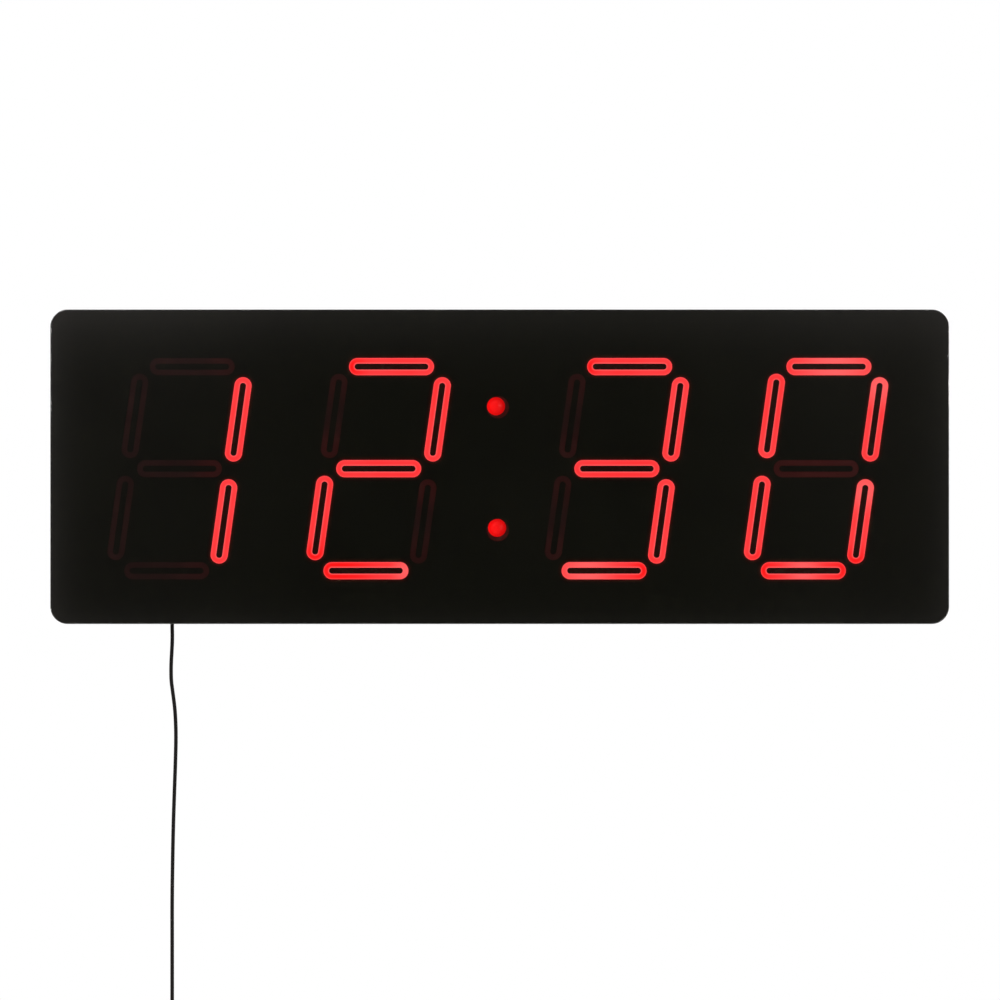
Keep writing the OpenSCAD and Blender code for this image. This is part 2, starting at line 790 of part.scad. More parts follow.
module crystal_can() {
    color("#c7cbd0") placed() on_ctrl(d_ctrl - crystal_h, crystal_h) translate(crystal_at)
        stadium(crystal_l, crystal_w);
}

module link_sockets() {
    color("#e6e2d6") placed() {
        display(d_board - socket_h, socket_h) for (x = SOCKET_X) translate([x, socket_z])
            square([socket_l, socket_w], center = true);
        slab(d_board - socket_h, socket_h) translate([ctrl_x, input_z])
            square([socket_w, socket_l], center = true);
        on_ctrl(d_ctrl - socket_h, socket_h) translate(header_at) square([socket_w, socket_l], center = true);
    }
}

// Flat cables from socket to socket along the numerals, and one up from the control board
module link_ribbons() {
    color("#8f9399") placed() {
        display(d_ribbon, ribbon_t) for (link = LINKS) {
            x0 = SOCKET_X[link[0]] + socket_l / 2;
            x1 = SOCKET_X[link[1]] - socket_l / 2;
            translate([x0, socket_z - ribbon_w / 2]) square([x1 - x0, ribbon_w]);
        }
        z0 = ctrl_z + header_at[1] + socket_l / 2;
        slab(d_ribbon, ribbon_t) translate([ctrl_x + header_at[0] - ribbon_w / 2, z0])
            square([ribbon_w, input_z - socket_l / 2 - z0]);
    }
}

module key_switches() {
    color("#26282b") placed() for (x = KEY_X) difference() {
        slab(d_switch, switch_h) translate([x, key_z]) square(switch_size, center = true);
        slab(d_switch - 1, plunger_in + key_travel + room + 1) translate([x, key_z])
            circle(d = plunger_d + 2 * slip);
    }
}

module key_cap(i) {
    color("#2b2d31") placed() translate([KEY_X[i], 0, key_z]) {
        difference() {
            slab(key_sink, cover_t + room + key_flange_t - key_sink) circle(d = key_d);
            translate([0, key_dish_r - key_dish - key_sink, 0]) sphere(key_dish_r);
        }
        slab(cover_t + room, key_flange_t) circle(d = key_flange_d);
        slab(cover_t + room, d_plunger - cover_t - room) circle(d = key_stem_d);
    }
}

module plunger(i) {
    color("#d9d9d9") placed() slab(d_plunger, plunger_out + plunger_in) translate([KEY_X[i], key_z])
        circle(d = plunger_d);
}

module set_key() { key_cap(0); }
module up_key() { key_cap(1); }
module down_key() { key_cap(2); }
module set_plunger() { plunger(0); }
module up_plunger() { plunger(1); }
module down_plunger() { plunger(2); }

// Backup cell, holder, contact clip and door

module at_cell() {
    placed() translate([cell_x, 0, cell_z]) children();
}

module backup_cell() {
    color("#c9ccd1") at_cell() slab(d_cell, cell_t) circle(d = cell_d);
}

module cell_holder() {
    color("#1a1b1d") at_cell() difference() {
        slab(d_cell + holder_low, d_ctrl - d_cell - holder_low) circle(d = cell_d + 2 * room + 2 * holder_wall);
        slab(d_cell, cell_t) circle(d = cell_d + 2 * room);
        slab(d_cell, d_ctrl - d_cell + 1) translate([cell_d / 2 + 2, 0]) square([6, clip_w + 1], center = true);
    }
}

module cell_clip() {
    color("#d3b25a") at_cell() slab(d_cell + room, d_ctrl - d_cell - room)
        translate([cell_d / 2 + slip / 2, -clip_w / 2]) square([clip_t, clip_w]);
}

module cell_door() {
    color("#232528") at_cell() difference() {
        union() {
            slab(door_sink, door_lip) circle(d = door_d);
            slab(door_sink, d_door_end - door_sink) circle(d = door_plug_d);
            slab(cover_t + room, lug_t) intersection() {
                circle(d = lug_d);
                square([2 * lug_d, lug_w], center = true);
            }
        }
        slab(door_sink - 1, 1 + door_slot_depth) stadium(door_slot_l, door_slot_w);
    }
}

// Supply jack and plug

module at_jack() {
    placed() translate([jack_x, -d_jack, jack_z]) children();
}

module dc_jack() {
    color("#141416") at_jack() difference() {
        translate([0, 0, jack_len / 2]) cube([jack_size, jack_size, jack_len], center = true);
        translate([0, 0, -1]) cylinder(d = bore_d, h = bore_len + 1);
    }
}

module jack_pin() {
    color("#c9ccd1") at_jack() translate([0, 0, 1]) cylinder(d = pin_d, h = bore_len - 1);
}

module plug_barrel() {
    color("#c9ccd1") at_jack() difference() {
        cylinder(d = barrel_d, h = barrel_len);
        translate([0, 0, -1]) cylinder(d = pin_d + 2 * slip, h = barrel_len + 2);
    }
}

module plug_grip() {
    r = plug_d / 2;
    groove = 0.5;
    step = grip_len / 6;
    color("#101113") at_jack() rotate([180, 0, 0]) difference() {
        rotate_extrude() polygon([[0, 0], [r, 0], [r, grip_len], [r * 0.72, grip_len + 1.2],
            [tail_d / 2, plug_len], [0, plug_len]]);
        for (i = [2:4]) translate([0, 0, i * step]) difference() {
            cylinder(r = r + 1, h = step / 2);
            translate([0, 0, -1]) cylinder(r = r - groove, h = step);
        }
    }
}

// Cord: swept tubes

// Points of one ring of a tube, square to its way at index i
function way(path, i) =
    let (a = path[max(i - 1, 0)], b = path[min(i + 1, len(path) - 1)])
    (b - a) / norm(b - a);
function ring(path, i, d, sides, away) =
    let (t = way(path, i), u0 = cross(t, away), u = u0 / norm(u0), v = cross(t, u))
    [for (k = [0:sides - 1]) path[i] + d / 2 * (cos(360 * k / sides) * u + sin(360 * k / sides) * v)];

module tube(path, d, sides, away) {
    last = len(path) - 1;
    points = [for (i = [0:last]) each ring(path, i, d, sides, away)];
    skin = [for (i = [0:last - 1], k = [0:sides - 1])
        let (a = i * sides + k, b = i * sides + (k + 1) % sides)
        each [[a, a + sides, b], [b, a + sides, b + sides]]];
    start = [for (k = [0:sides - 1]) k];
    end = [for (k = [sides - 1:-1:0]) last * sides + k];
    polyhedron(points, concat([start], skin, [end]));
}

// A smooth curve through hand-chosen points
function curve(p, i, u) =
    let (a = p[max(i - 1, 0)], b = p[i], c = p[i + 1], d = p[min(i + 2, len(p) - 1)])
    0.5 * (2 * b + (c - a) * u + (2 * a - 5 * b + 4 * c - d) * u * u + (3 * b - a - 3 * c + d) * pow(u, 3));
function lead_point(q) = [jack_x + q[0], -d_jack, tail_z - q[1]];
LEAD_PATH = [
    for (i = [0:len(ROUTE) - 2], k = [0:rings_per_span - 1]) lead_point(curve(ROUTE, i, k / rings_per_span)),
    lead_point(ROUTE[len(ROUTE) - 1])];

module supply_lead() {
    color("#0c0c0d") placed() tube(LEAD_PATH, lead_d, lead_sides, [0, 1, 0]);
}

// Turns outside in and back: distance gone towards the middle, and layer with its eased climb
function inward(t) = let (m = t % (2 * layer_turns)) m < layer_turns ? m : 2 * layer_turns - m;
function ease(u) = u < 0 ? 0 : u > 1 ? 1 : u * u * (3 - 2 * u);
function layer_at(t) = let (steps = [for (k = [1:coil_layers - 1]) ease((t - k * layer_turns) * 2 + 0.5)])
    steps[0] + steps[1] + steps[2];
function coil_point(t) = let (r = coil_out_r - coil_pitch * inward(t), a = -360 * t)
    [jack_x - coil_out_r + r * cos(a), -d_jack - coil_pitch * layer_at(t), coil_z + r * sin(a)];
TURNS = [for (i = [0:coil_turns * rings_per_turn]) coil_point(i / rings_per_turn)];
COIL_PATH = concat(
    [for (k = [1, 1 / 3]) [jack_x, -d_jack, coil_z + k * coil_straight]],
    TURNS,
    [for (k = [1 / 3, 1]) [jack_x, -d_coil_end, coil_z - k * coil_straight]]);
half_turn = rings_per_turn / 2;
coil_gap = min([for (i = [0:len(TURNS) - half_turn - 1], j = [i + half_turn:len(TURNS) - 1])
    norm(TURNS[i] - TURNS[j])]) - lead_d;
coil_steps = [for (i = [0:len(COIL_PATH) - 2]) norm(COIL_PATH[i + 1] - COIL_PATH[i])];
coil_length = coil_steps * [for (step = coil_steps) 1];
cord_length = coil_length + lead_drop + drop_len;
echo(coil_least_gap = coil_gap, coil_length = coil_length, cord_length = cord_length);

module lead_coil() {
    color("#0c0c0d") placed() tube(COIL_PATH, lead_d, coil_sides, [0, 1, 0]);
}

module lead_tie() {
    color("#161719") placed() translate([jack_x, 0, coil_z - tie_h / 2]) linear_extrude(tie_h) {
        mid = [(tie_x0 + tie_x1) / 2, -d_jack - coil_pitch * (coil_layers - 1) / 2];
        translate(mid) difference() {
            rounded(tie_x1 - tie_x0 + 2 * tie_t, tie_y + 2 * tie_t, 2 * tie_t);
            rounded(tie_x1 - tie_x0, tie_y, tie_t);
        }
    }
}

// Adapter, hanging below the coil

module at_adapter() {
    placed() translate([jack_x, -d_coil_end, adapter_z]) children();
}

module adapter_lead() {
    color("#0c0c0d") at_adapter() translate([0, 0, relief_len]) cylinder(d = lead_d, h = drop_len);
}

module adapter_relief() {
    color("#0e0f10") at_adapter() cylinder(d1 = tail_d + 2.6, d2 = tail_d, h = relief_len);
}

// A slice of the adapter that lies in Y and Z and reaches sideways
module adapter_shell(x, thick, low, high) {
    translate([x, 0, -adapter_len / 2]) rotate([90, 0, 90])
        bevelled(adapter_w, adapter_len, adapter_r, thick, low, high);
}

module adapter_case() {
    color("#121315") at_adapter() difference() {
        adapter_shell(lid_t - adapter_t / 2, adapter_t - lid_t, 0, adapter_bevel);
        for (y = [-1, 1], i = [0:grip_count - 1])
            translate([(lid_t - adapter_bevel) / 2, y * adapter_w / 2, grip_z + i * grip_pitch])
                cube([adapter_t - lid_t - 2 * adapter_bevel, 2 * grip_depth, grip_w], center = true);
    }
}

module adapter_lid() {
    color("#17181a") at_adapter() adapter_shell(-adapter_t / 2, lid_t, adapter_bevel, 0);
}

module adapter_pins() {
    color("#c9ccd1") at_adapter() for (y = [-1, 1])
        translate([-adapter_t / 2, y * prong_gap / 2, prong_z - adapter_z]) rotate([0, -90, 0]) {
            cylinder(d = prong_d, h = prong_len - prong_tip);
            translate([0, 0, prong_len - prong_tip]) cylinder(d1 = prong_d, d2 = prong_d * 0.6, h = prong_tip);
        }
}

front_panel();
printed_mask();
bonding_tape();
housing_shell();
rear_cover();
cover_screws();
digit_1_light_box();
digit_2_light_box();
digit_3_light_box();
digit_4_light_box();
digit_1_lit_bars();
digit_2_lit_bars();
digit_3_lit_bars();
digit_4_lit_bars();
digit_1_dark_bars();
digit_2_dark_bars();
digit_3_dark_bars();
digit_4_dark_bars();
digit_1_board();
digit_2_board();
digit_3_board();
digit_4_board();
digit_1_leds();
digit_2_leds();
digit_3_leds();
digit_4_leds();
colon_light_box();
colon_lenses();
colon_lamps();
colon_board();
board_screws();
control_board();
control_chips();
capacitors();
crystal_can();
key_switches();
set_key();
set_plunger();
up_key();
up_plunger();
down_key();
down_plunger();
backup_cell();
cell_holder();
cell_clip();
cell_door();
dc_jack();
jack_pin();
link_sockets();
link_ribbons();
plug_barrel();
plug_grip();
supply_lead();
lead_coil();
lead_tie();
adapter_lead();
adapter_relief();
adapter_case();
adapter_lid();
adapter_pins();
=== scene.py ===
"""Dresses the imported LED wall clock: panel, glowing outline numerals, mouldings, keys and supply cord.

Laid out as a Blender add-on and run as a script. Everything is in metres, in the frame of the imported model.
"""

import math

import bmesh
import bpy
from bpy.props import FloatProperty, FloatVectorProperty, IntProperty, PointerProperty
from bpy.types import NodeSocket, Operator, Panel, PropertyGroup
from mathutils import Matrix, Vector


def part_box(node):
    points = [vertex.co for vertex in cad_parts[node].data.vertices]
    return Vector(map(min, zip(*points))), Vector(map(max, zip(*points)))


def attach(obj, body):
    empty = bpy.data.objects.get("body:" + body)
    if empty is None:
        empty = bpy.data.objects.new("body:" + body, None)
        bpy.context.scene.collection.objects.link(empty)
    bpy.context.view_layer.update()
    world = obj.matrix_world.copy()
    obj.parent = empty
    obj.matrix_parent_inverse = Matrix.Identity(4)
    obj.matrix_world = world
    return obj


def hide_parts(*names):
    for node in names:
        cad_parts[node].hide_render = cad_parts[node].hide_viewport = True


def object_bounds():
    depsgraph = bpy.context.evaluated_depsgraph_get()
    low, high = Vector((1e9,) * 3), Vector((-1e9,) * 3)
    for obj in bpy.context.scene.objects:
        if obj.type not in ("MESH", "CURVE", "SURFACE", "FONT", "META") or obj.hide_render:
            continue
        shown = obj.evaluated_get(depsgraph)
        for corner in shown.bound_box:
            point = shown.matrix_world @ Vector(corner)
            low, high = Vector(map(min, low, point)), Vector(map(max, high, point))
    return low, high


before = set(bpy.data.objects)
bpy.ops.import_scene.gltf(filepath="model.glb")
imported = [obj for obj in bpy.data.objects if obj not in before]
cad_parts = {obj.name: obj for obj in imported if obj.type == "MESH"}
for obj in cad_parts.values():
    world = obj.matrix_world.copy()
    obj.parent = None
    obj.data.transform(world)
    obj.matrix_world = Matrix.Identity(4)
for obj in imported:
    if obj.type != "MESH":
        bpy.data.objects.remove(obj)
CAD_LOW, CAD_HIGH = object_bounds()

bl_info = {
    "name": "LED Wall Clock",
    "version": (1, 0, 0),
    "blender": (4, 5, 0),
    "location": "View3D > Sidebar > Wall Clock",
    "description": "Dresses the packed LED wall clock with its glass, glow, mouldings and cord",
    "category": "Object",
}

MM = 0.001
DIGITS = (1, 2, 3, 4)
# Segments that each numeral of the display lights
LIT = {1: "bc", 2: "abged", 3: "abgcd", 4: "abcdef"}
# Rise of the gap between the ends of two segments, where it goes up to the right and up to the left
KNEES = (math.radians(39), math.radians(50))
# Steps round a corner of the panel and of the print behind it
CORNER_STEPS = 14
# Lines in a metre of drawn metal, along its length and across it
DRAWN_LINES = (300.0, 3000.0, 3000.0)
NO_LIGHT = (0, 0, 0)
WHITE = (1, 1, 1)


# Settings that a user would change


def metres(name, description, default):
    """A setting that is a length"""
    return FloatProperty(name=name, description=description, default=default, unit="LENGTH")


def tone(name, description, default):
    """A setting that is a colour"""
    return FloatVectorProperty(name=name, description=description, default=default, subtype="COLOR")


class ClockPanelSettings(PropertyGroup):
    """Sizes and colours of the front panel and its printed layer"""

    corner: metres("Corner radius", "Radius of the panel's corners", 11 * MM)
    edge: metres("Edge rounding", "Rounding of the panel's polished edges", 0.6 * MM)
    print_gap: metres("Print gap", "Air between the panel and its printed layer", 0.04 * MM)
    tint: tone("Tint", "Colour of the clear panel", (0.90, 0.88, 0.88))
    ink: tone("Ink", "Colour of the printed layer", (0.0055, 0.0058, 0.0036))


class ClockGlowSettings(PropertyGroup):
    """Sizes and colours of the numerals and the colon"""

    length: metres("Segment length", "Overall length of a segment", 54 * MM)
    width: metres("Segment width", "Overall width of a segment", 11 * MM)
    stroke: metres("Outline width", "Width of the glowing outline", 3.6 * MM)
    gap: metres("Segment gap", "Gap between the ends of two segments", 4.9 * MM)
    slant: FloatProperty(
        name="Slant", description="Lean of the upright segments", default=math.radians(8), subtype="ANGLE")
    upright_out: metres("Upright shift", "Upper uprights to the right, lower ones to the left", 0.5 * MM)
    dot: metres("Colon window", "Diameter of a colon window", 14.2 * MM)
    dot_spacing: metres("Colon spacing", "Distance between the colon windows", 78 * MM)
    halo: metres("Halo", "Reach of the glow round a lit window", 2.2 * MM)
    lit_bright: tone("Bright glow", "Lit outline close over an LED", (1.0, 0.125, 0.125))
    lit_pale: tone("Pale glow", "Most of a lit outline", (1.0, 0.046, 0.050))
    lit_deep: tone("Deep glow", "Lit outline far from an LED", (1.0, 0.0012, 0.002))
    unlit: tone("Unlit", "Lens of a segment that is off", (0.0175, 0.0066, 0.0054))
    leak: tone("Leak", "Light that leaks into a lens that is off", (0.036, 0.0003, 0.0004))
    lamp: tone("Lamp", "Glow of a colon lamp", (1.0, 0.0030, 0.0034))


class ClockHousingSettings(PropertyGroup):
    """Colours and finish of the mouldings, metal and boards"""

    black: tone("Black", "Moulded black plastic", (0.014, 0.014, 0.015))
    white: tone("White", "Moulded white plastic", (0.80, 0.79, 0.75))
    key: tone("Keys", "Moulded grey keys", (0.10, 0.10, 0.105))
    steel: tone("Steel", "Bright plated steel", (0.62, 0.62, 0.60))
    mask: tone("Solder mask", "Printed boards", (0.012, 0.075, 0.032))
    edge: metres("Edge rounding", "Rounding of moulded edges", 0.4 * MM)


class ClockCordSettings(PropertyGroup):
    """Sizes of the supply lead"""

    diameter: metres("Diameter", "Diameter of the lead", 2.4 * MM)
    length: metres("Length", "Whole length from plug to adapter", 1.459)
    turns: FloatProperty(
        name="Turns in a layer", description="Turns in one layer of the tied coil", default=3.5)
    points: IntProperty(
        name="Points in a turn", description="Curve points in one turn of the coil", default=16)


class ClockStageSettings(PropertyGroup):
    """Camera, floor and lamps"""

    distance: metres("Camera distance", "Camera to the front of the panel", 2.5)
    field: metres("Field", "Width of the picture at the front of the panel", 0.6342)
    drop: metres("Camera drop", "Camera below the middle of the panel", 21.1 * MM)
    aside: metres("Camera aside", "Camera right of the middle of the panel", 0.2 * MM)
    ambient: FloatProperty(
        name="Ambient", description="Even light from all round", default=0.6)
    floor: metres("Floor radius", "Radius of the pale floor", 1.1)
    floor_drop: metres("Floor drop", "Floor below the hanging adapter", 15 * MM)


class ClockSettings(PropertyGroup):
    """All settings of the clock"""

    panel: PointerProperty(type=ClockPanelSettings)
    glow: PointerProperty(type=ClockGlowSettings)
    housing: PointerProperty(type=ClockHousingSettings)
    cord: PointerProperty(type=ClockCordSettings)
    stage: PointerProperty(type=ClockStageSettings)


def settings():
    return bpy.context.scene.wall_clock


# Shader building


def scaled(colour, by):
    return tuple(min(1.0, c * by) for c in colour)


def cleared(block):
    """Turn on the nodes of a material or world, and give its emptied tree"""
    block.use_nodes = True
    block.node_tree.nodes.clear()
    return block.node_tree


def feed(tree, sockets, values):
    """Set sockets by name or number, or link them where the value is another socket"""
    for name, value in values.items():
        if isinstance(value, NodeSocket):
            tree.links.new(value, sockets[name])
        elif sockets[name].type == "RGBA":
            sockets[name].default_value = (*value, 1.0)
        else:
            sockets[name].default_value = value


def place(tree, kind, inputs=None, **options):
    """Add a shader node, set its options and feed its inputs"""
    made = tree.nodes.new("ShaderNode" + kind)
    for name, value in options.items():
        setattr(made, name, value)
    feed(tree, made.inputs, inputs or {})
    return made


def object_coords(tree):
    return place(tree, "TexCoord").outputs["Object"]


def calc(tree, operation, *values):
    """A Math node's output"""
    return place(tree, "Math", dict(enumerate(values)), operation=operation).outputs[0]


def vector(tree, operation, *values):
    """A Vector Math node's output, which is a number for a distance, a length or a dot product"""
    made = place(tree, "VectorMath", dict(enumerate(values)), operation=operation)
    return made.outputs["Value" if operation in {"DISTANCE", "LENGTH", "DOT_PRODUCT"} else "Vector"]


def mixed(tree, factor, first, second):
    """A colour between two others"""
    return place(tree, "Mix", {0: factor, 6: first, 7: second}, data_type="RGBA").outputs[2]


def ramp(tree, value, low, high, start=0.0, end=1.0):
    """A smooth step of a value from low to high, put out between start and end"""
    return place(
        tree, "MapRange",
        {"Value": value, "From Min": low, "From Max": high, "To Min": start, "To Max": end},
        interpolation_type="SMOOTHSTEP").outputs["Result"]


def spots(tree, size, detail=3.0, where=None):
    """Noise on the object's own coordinates, with spots about as large as size"""
    where = where or object_coords(tree)
    return place(
        tree, "TexNoise", {"Vector": where, "Scale": 1 / size, "Detail": detail}).outputs["Fac"]


def raised(tree, height, distance, **under):
    """A normal from a height, on top of another Normal if one is given"""
    return place(tree, "Bump", {"Height": height, "Distance": distance, **under}).outputs["Normal"]


def new_group(name, inputs, outputs):
    """An empty shader group with its sockets, and the nodes that hold them"""
    tree = bpy.data.node_groups.new(name, "ShaderNodeTree")
    kinds = {"value": "NodeSocketFloat", "colour": "NodeSocketColor", "vector": "NodeSocketVector"}
    for label, kind in inputs.items():
        tree.interface.new_socket(name=label, in_out="INPUT", socket_type=kinds[kind])
    for label, kind in outputs.items():
        tree.interface.new_socket(name=label, in_out="OUTPUT", socket_type=kinds[kind])
    return tree, tree.nodes.new("NodeGroupInput").outputs, tree.nodes.new("NodeGroupOutput").inputs


def moulded_grain(name):
    """Group: pebbled grain of a moulded surface, with a faint slow mottle"""
    tree, given, out = new_group(
        name,
        {"Colour": "colour", "Mottled": "colour", "Smooth": "value", "Rough": "value", "Fineness": "value"},
        {"Colour": "colour", "Roughness": "value", "Height": "value"})
    coords = object_coords(tree)
    grain = place(
        tree, "TexNoise",
        {"Vector": coords, "Scale": given["Fineness"], "Detail": 2.0}).outputs["Fac"]
    pebbles = place(
        tree, "TexVoronoi",
        {"Vector": coords, "Scale": calc(tree, "MULTIPLY", given["Fineness"], 0.3)}).outputs["Distance"]
    mottle = ramp(tree, spots(tree, 35 * MM, where=coords), 0.35, 0.7, 0.0, 0.3)
    share = calc(tree, "ADD", mottle, ramp(tree, pebbles, 0.75, 0.25, 0.0, 0.7))
    span = calc(tree, "SUBTRACT", given["Rough"], given["Smooth"])
    feed(tree, out, {
        "Colour": mixed(tree, share, given["Colour"], given["Mottled"]),
        "Roughness": calc(tree, "MULTIPLY_ADD", share, span, given["Smooth"]),
        "Height": calc(tree, "MULTIPLY_ADD", grain, 0.5, calc(tree, "MULTIPLY", pebbles, -1.0))})
    return tree


def drawn_metal(name):
    """Group: fine lines of drawn or turned metal with faint stains"""
    tree, given, out = new_group(
        name, {"Colour": "colour", "Stained": "colour", "Line size": "vector"},
        {"Colour": "colour", "Roughness": "value", "Height": "value"})
    coords = object_coords(tree)
    along = vector(tree, "MULTIPLY", coords, given["Line size"])
    lines = place(tree, "TexNoise", {"Vector": along, "Scale": 1.0, "Detail": 4.0}).outputs["Fac"]
    stain = ramp(tree, spots(tree, 4 * MM, where=coords), 0.5, 0.75)
    feed(tree, out, {
        "Colour": mixed(tree, stain, given["Colour"], given["Stained"]),
        "Roughness": ramp(tree, lines, 0.3, 0.7, 0.22, 0.38),
        "Height": lines})
    return tree


def glow_spot(name):
    """Group: a soft round spot on the object's coordinates"""
    tree, given, out = new_group(name, {"Centre": "vector", "Reach": "value"}, {"Spot": "value"})
    away = vector(tree, "DISTANCE", object_coords(tree), given["Centre"])
    feed(tree, out, {"Spot": ramp(tree, away, given["Reach"], 0.0)})
    return tree


def bar_distance(name):
    """Group: distance from the middle line of a segment"""
    tree, given, out = new_group(
        name, {"Middle": "vector", "Along": "vector", "Half": "value"}, {"Distance": "value"})
    offset = vector(tree, "SUBTRACT", object_coords(tree), given["Middle"])
    along = vector(tree, "DOT_PRODUCT", offset, given["Along"])
    low = calc(tree, "MULTIPLY", given["Half"], -1.0)
    share = calc(tree, "MINIMUM", calc(tree, "MAXIMUM", along, low), given["Half"])
    foot = place(
        tree, "VectorMath", {0: given["Along"], "Scale": share}, operation="SCALE").outputs["Vector"]
    feed(tree, out, {"Distance": vector(tree, "DISTANCE", offset, foot)})
    return tree


def board_tracks(name):
    """Group: tracks and soldered pads of a printed board under its mask"""
    tree, given, out = new_group(
        name, {"Mask": "colour", "Track": "colour", "Tin": "colour"},
        {"Colour": "colour", "Roughness": "value", "Pads": "value", "Height": "value"})
    x, y, z = place(tree, "SeparateXYZ", {0: object_coords(tree)}).outputs
    flat = place(tree, "CombineXYZ", {0: x, 1: z}).outputs[0]
    tracks = place(
        tree, "TexBrick",
        {"Vector": flat, "Scale": 1.0, "Mortar Size": 0.22 * MM, "Mortar Smooth": 0.1, "Brick Width": 9 * MM,
         "Row Height": 2.1 * MM}, offset=0.37, squash=0.6, squash_frequency=3).outputs["Fac"]
    near = place(tree, "TexVoronoi", {"Vector": flat, "Scale": 1 / (5 * MM)}).outputs["Distance"]
    pads = ramp(tree, near, 0.17, 0.13)
    covered = mixed(tree, tracks, given["Mask"], given["Track"])
    feed(tree, out, {
        "Colour": mixed(tree, pads, covered, given["Tin"]),
        "Roughness": ramp(tree, tracks, 0.0, 1.0, 0.38, 0.28),
        "Pads": pads,
        "Height": calc(tree, "MAXIMUM", tracks, pads)})
    return tree


def edge_wear(name):
    """Group: normals that round sharp edges off, and a mask of those edges"""
    tree, given, out = new_group(name, {"Radius": "value"}, {"Normal": "vector", "Edge": "value"})
    soft = place(tree, "Bevel", {"Radius": given["Radius"]}, samples=6).outputs["Normal"]
    face = place(tree, "NewGeometry").outputs["Normal"]
    match = vector(tree, "DOT_PRODUCT", soft, face)
    feed(tree, out, {"Normal": soft, "Edge": ramp(tree, match, 0.99, 0.85)})
    return tree


def use_group(tree, build, **inputs):
    """Place a group in a material, built when it is first used, with its values by socket name"""
    name = build.__name__.replace("_", " ").capitalize()
    group = bpy.data.node_groups.get(name) or build(name)
    made = place(tree, "Group", node_tree=group)
    feed(tree, made.inputs, {label.replace("_", " "): value for label, value in inputs.items()})
    return made.outputs


def new_material(name):
    """A material with one Principled shader: the material, its tree and the shader's inputs"""
    made = bpy.data.materials.new(name)
    tree = cleared(made)
    shader = place(tree, "BsdfPrincipled")
    place(tree, "OutputMaterial", {"Surface": shader.outputs[0]})
    return made, tree, shader.inputs


def moulded_plastic(
        name, colour, mottled, smooth=0.42, rough=0.55, grain=0.35 * MM, depth=0.03 * MM, gloss=0.5):
    """Moulded plastic with a fine grain, soft edges, and lighter spots along them that are partly rubbed and
    partly a painted highlight
    """
    made, tree, shader = new_material(name)
    skin = use_group(
        tree, moulded_grain, Colour=colour, Mottled=mottled, Smooth=smooth, Rough=rough,
        Fineness=1 / grain)
    rounded_edges = use_group(tree, edge_wear, Radius=settings().housing.edge)
    # Edges lighter in spots: partly rubbed plastic, partly a painted highlight along every sharp edge
    rubbed_and_highlight = calc(tree, "MULTIPLY", rounded_edges["Edge"], ramp(tree, spots(tree, 9 * MM), 0.35, 0.65, 0.1, 0.6))
    feed(tree, shader, {
        "Base Color": mixed(tree, rubbed_and_highlight, skin["Colour"], scaled(mottled, 1.5)),
        "Roughness": skin["Roughness"],
        "Normal": raised(tree, skin["Height"], depth, Normal=rounded_edges["Normal"]),
        "Specular IOR Level": gloss})
    return made


def plated_metal(name, colour, stained):
    """Drawn or turned metal, with a painted highlight that brightens its edges"""
    made, tree, shader = new_material(name)
    skin = use_group(
        tree, drawn_metal, Colour=colour, Stained=stained, Line_size=DRAWN_LINES)
    rounded_edges = use_group(tree, edge_wear, Radius=settings().housing.edge / 2)
    # Painted highlight: every sharp edge brighter than the metal's own colour
    bright = calc(tree, "MULTIPLY", rounded_edges["Edge"], 0.4)
    feed(tree, shader, {
        "Base Color": mixed(tree, bright, skin["Colour"], scaled(colour, 1.3)),
        "Roughness": skin["Roughness"],
        "Normal": raised(tree, skin["Height"], 0.004 * MM, Normal=rounded_edges["Normal"]),
        "Metallic": 1.0})
    return made


# Pieces


def add_object(name, data):
    """Put an object with this data in the scene"""
    made = bpy.data.objects.new(name, data)
    bpy.context.scene.collection.objects.link(made)
    return made


def dress(material, *nodes):
    """Give CAD nodes a material"""
    for name in nodes:
        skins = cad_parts[name].data.materials
        skins.clear()
        skins.append(material)


def finish_piece(name, bm, material, body, node):
    """Turn a bmesh into a piece that rides on a body and stands for a CAD node"""
    mesh = bpy.data.meshes.new(name)
    bm.to_mesh(mesh)
    bm.free()
    mesh.materials.append(material)
    piece = add_object(name, mesh)
    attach(piece, body)
    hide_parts(node)


def round_edges(bm, width, steps, sharp=math.radians(40)):
    """Round every edge sharper than an angle, and shade the roundings smooth"""
    edges = [e for e in bm.edges if e.is_manifold and e.calc_face_angle() > sharp]
    made = bmesh.ops.bevel(
        bm, geom=edges, offset=width, offset_type="OFFSET", affect="EDGES", segments=steps, profile=0.5,
        material=-1, clamp_overlap=False)
    for face in made["faces"]:
        face.smooth = True


def shade_curves(bm, flat=math.radians(0.6), sharp=math.radians(25)):
    """Shade faces that bend gently into their neighbours smooth, and leave flat ones flat"""
    for face in bm.faces:
        angles = [e.calc_face_angle() for e in face.edges if e.is_manifold]
        face.smooth = any(flat < a < sharp for a in angles)


def middle(node):
    low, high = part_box(node)
    return (low + high) / 2


def front_middle(low, high):
    """Middle of the front side of a box"""
    return Vector(((low.x + high.x) / 2, low.y, (low.z + high.z) / 2))


def outline_face(bm, low, high, radius):
    """The front side of a box as one face, with rounded corners"""
    made = bmesh.ops.create_grid(bm, x_segments=1, y_segments=1, size=0.5)
    stretch = Matrix.Diagonal((high.x - low.x, high.z - low.z, 1, 1))
    turn = Matrix.Translation(front_middle(low, high)) @ Matrix.Rotation(math.pi / 2, 4, "X") @ stretch
    bmesh.ops.transform(bm, matrix=turn, verts=made["verts"])
    bmesh.ops.bevel(
        bm, geom=made["verts"], offset=radius, offset_type="OFFSET", affect="VERTICES", segments=CORNER_STEPS,
        profile=0.5, material=-1)
    bm.faces.ensure_lookup_table()
    return bm.faces[-1]


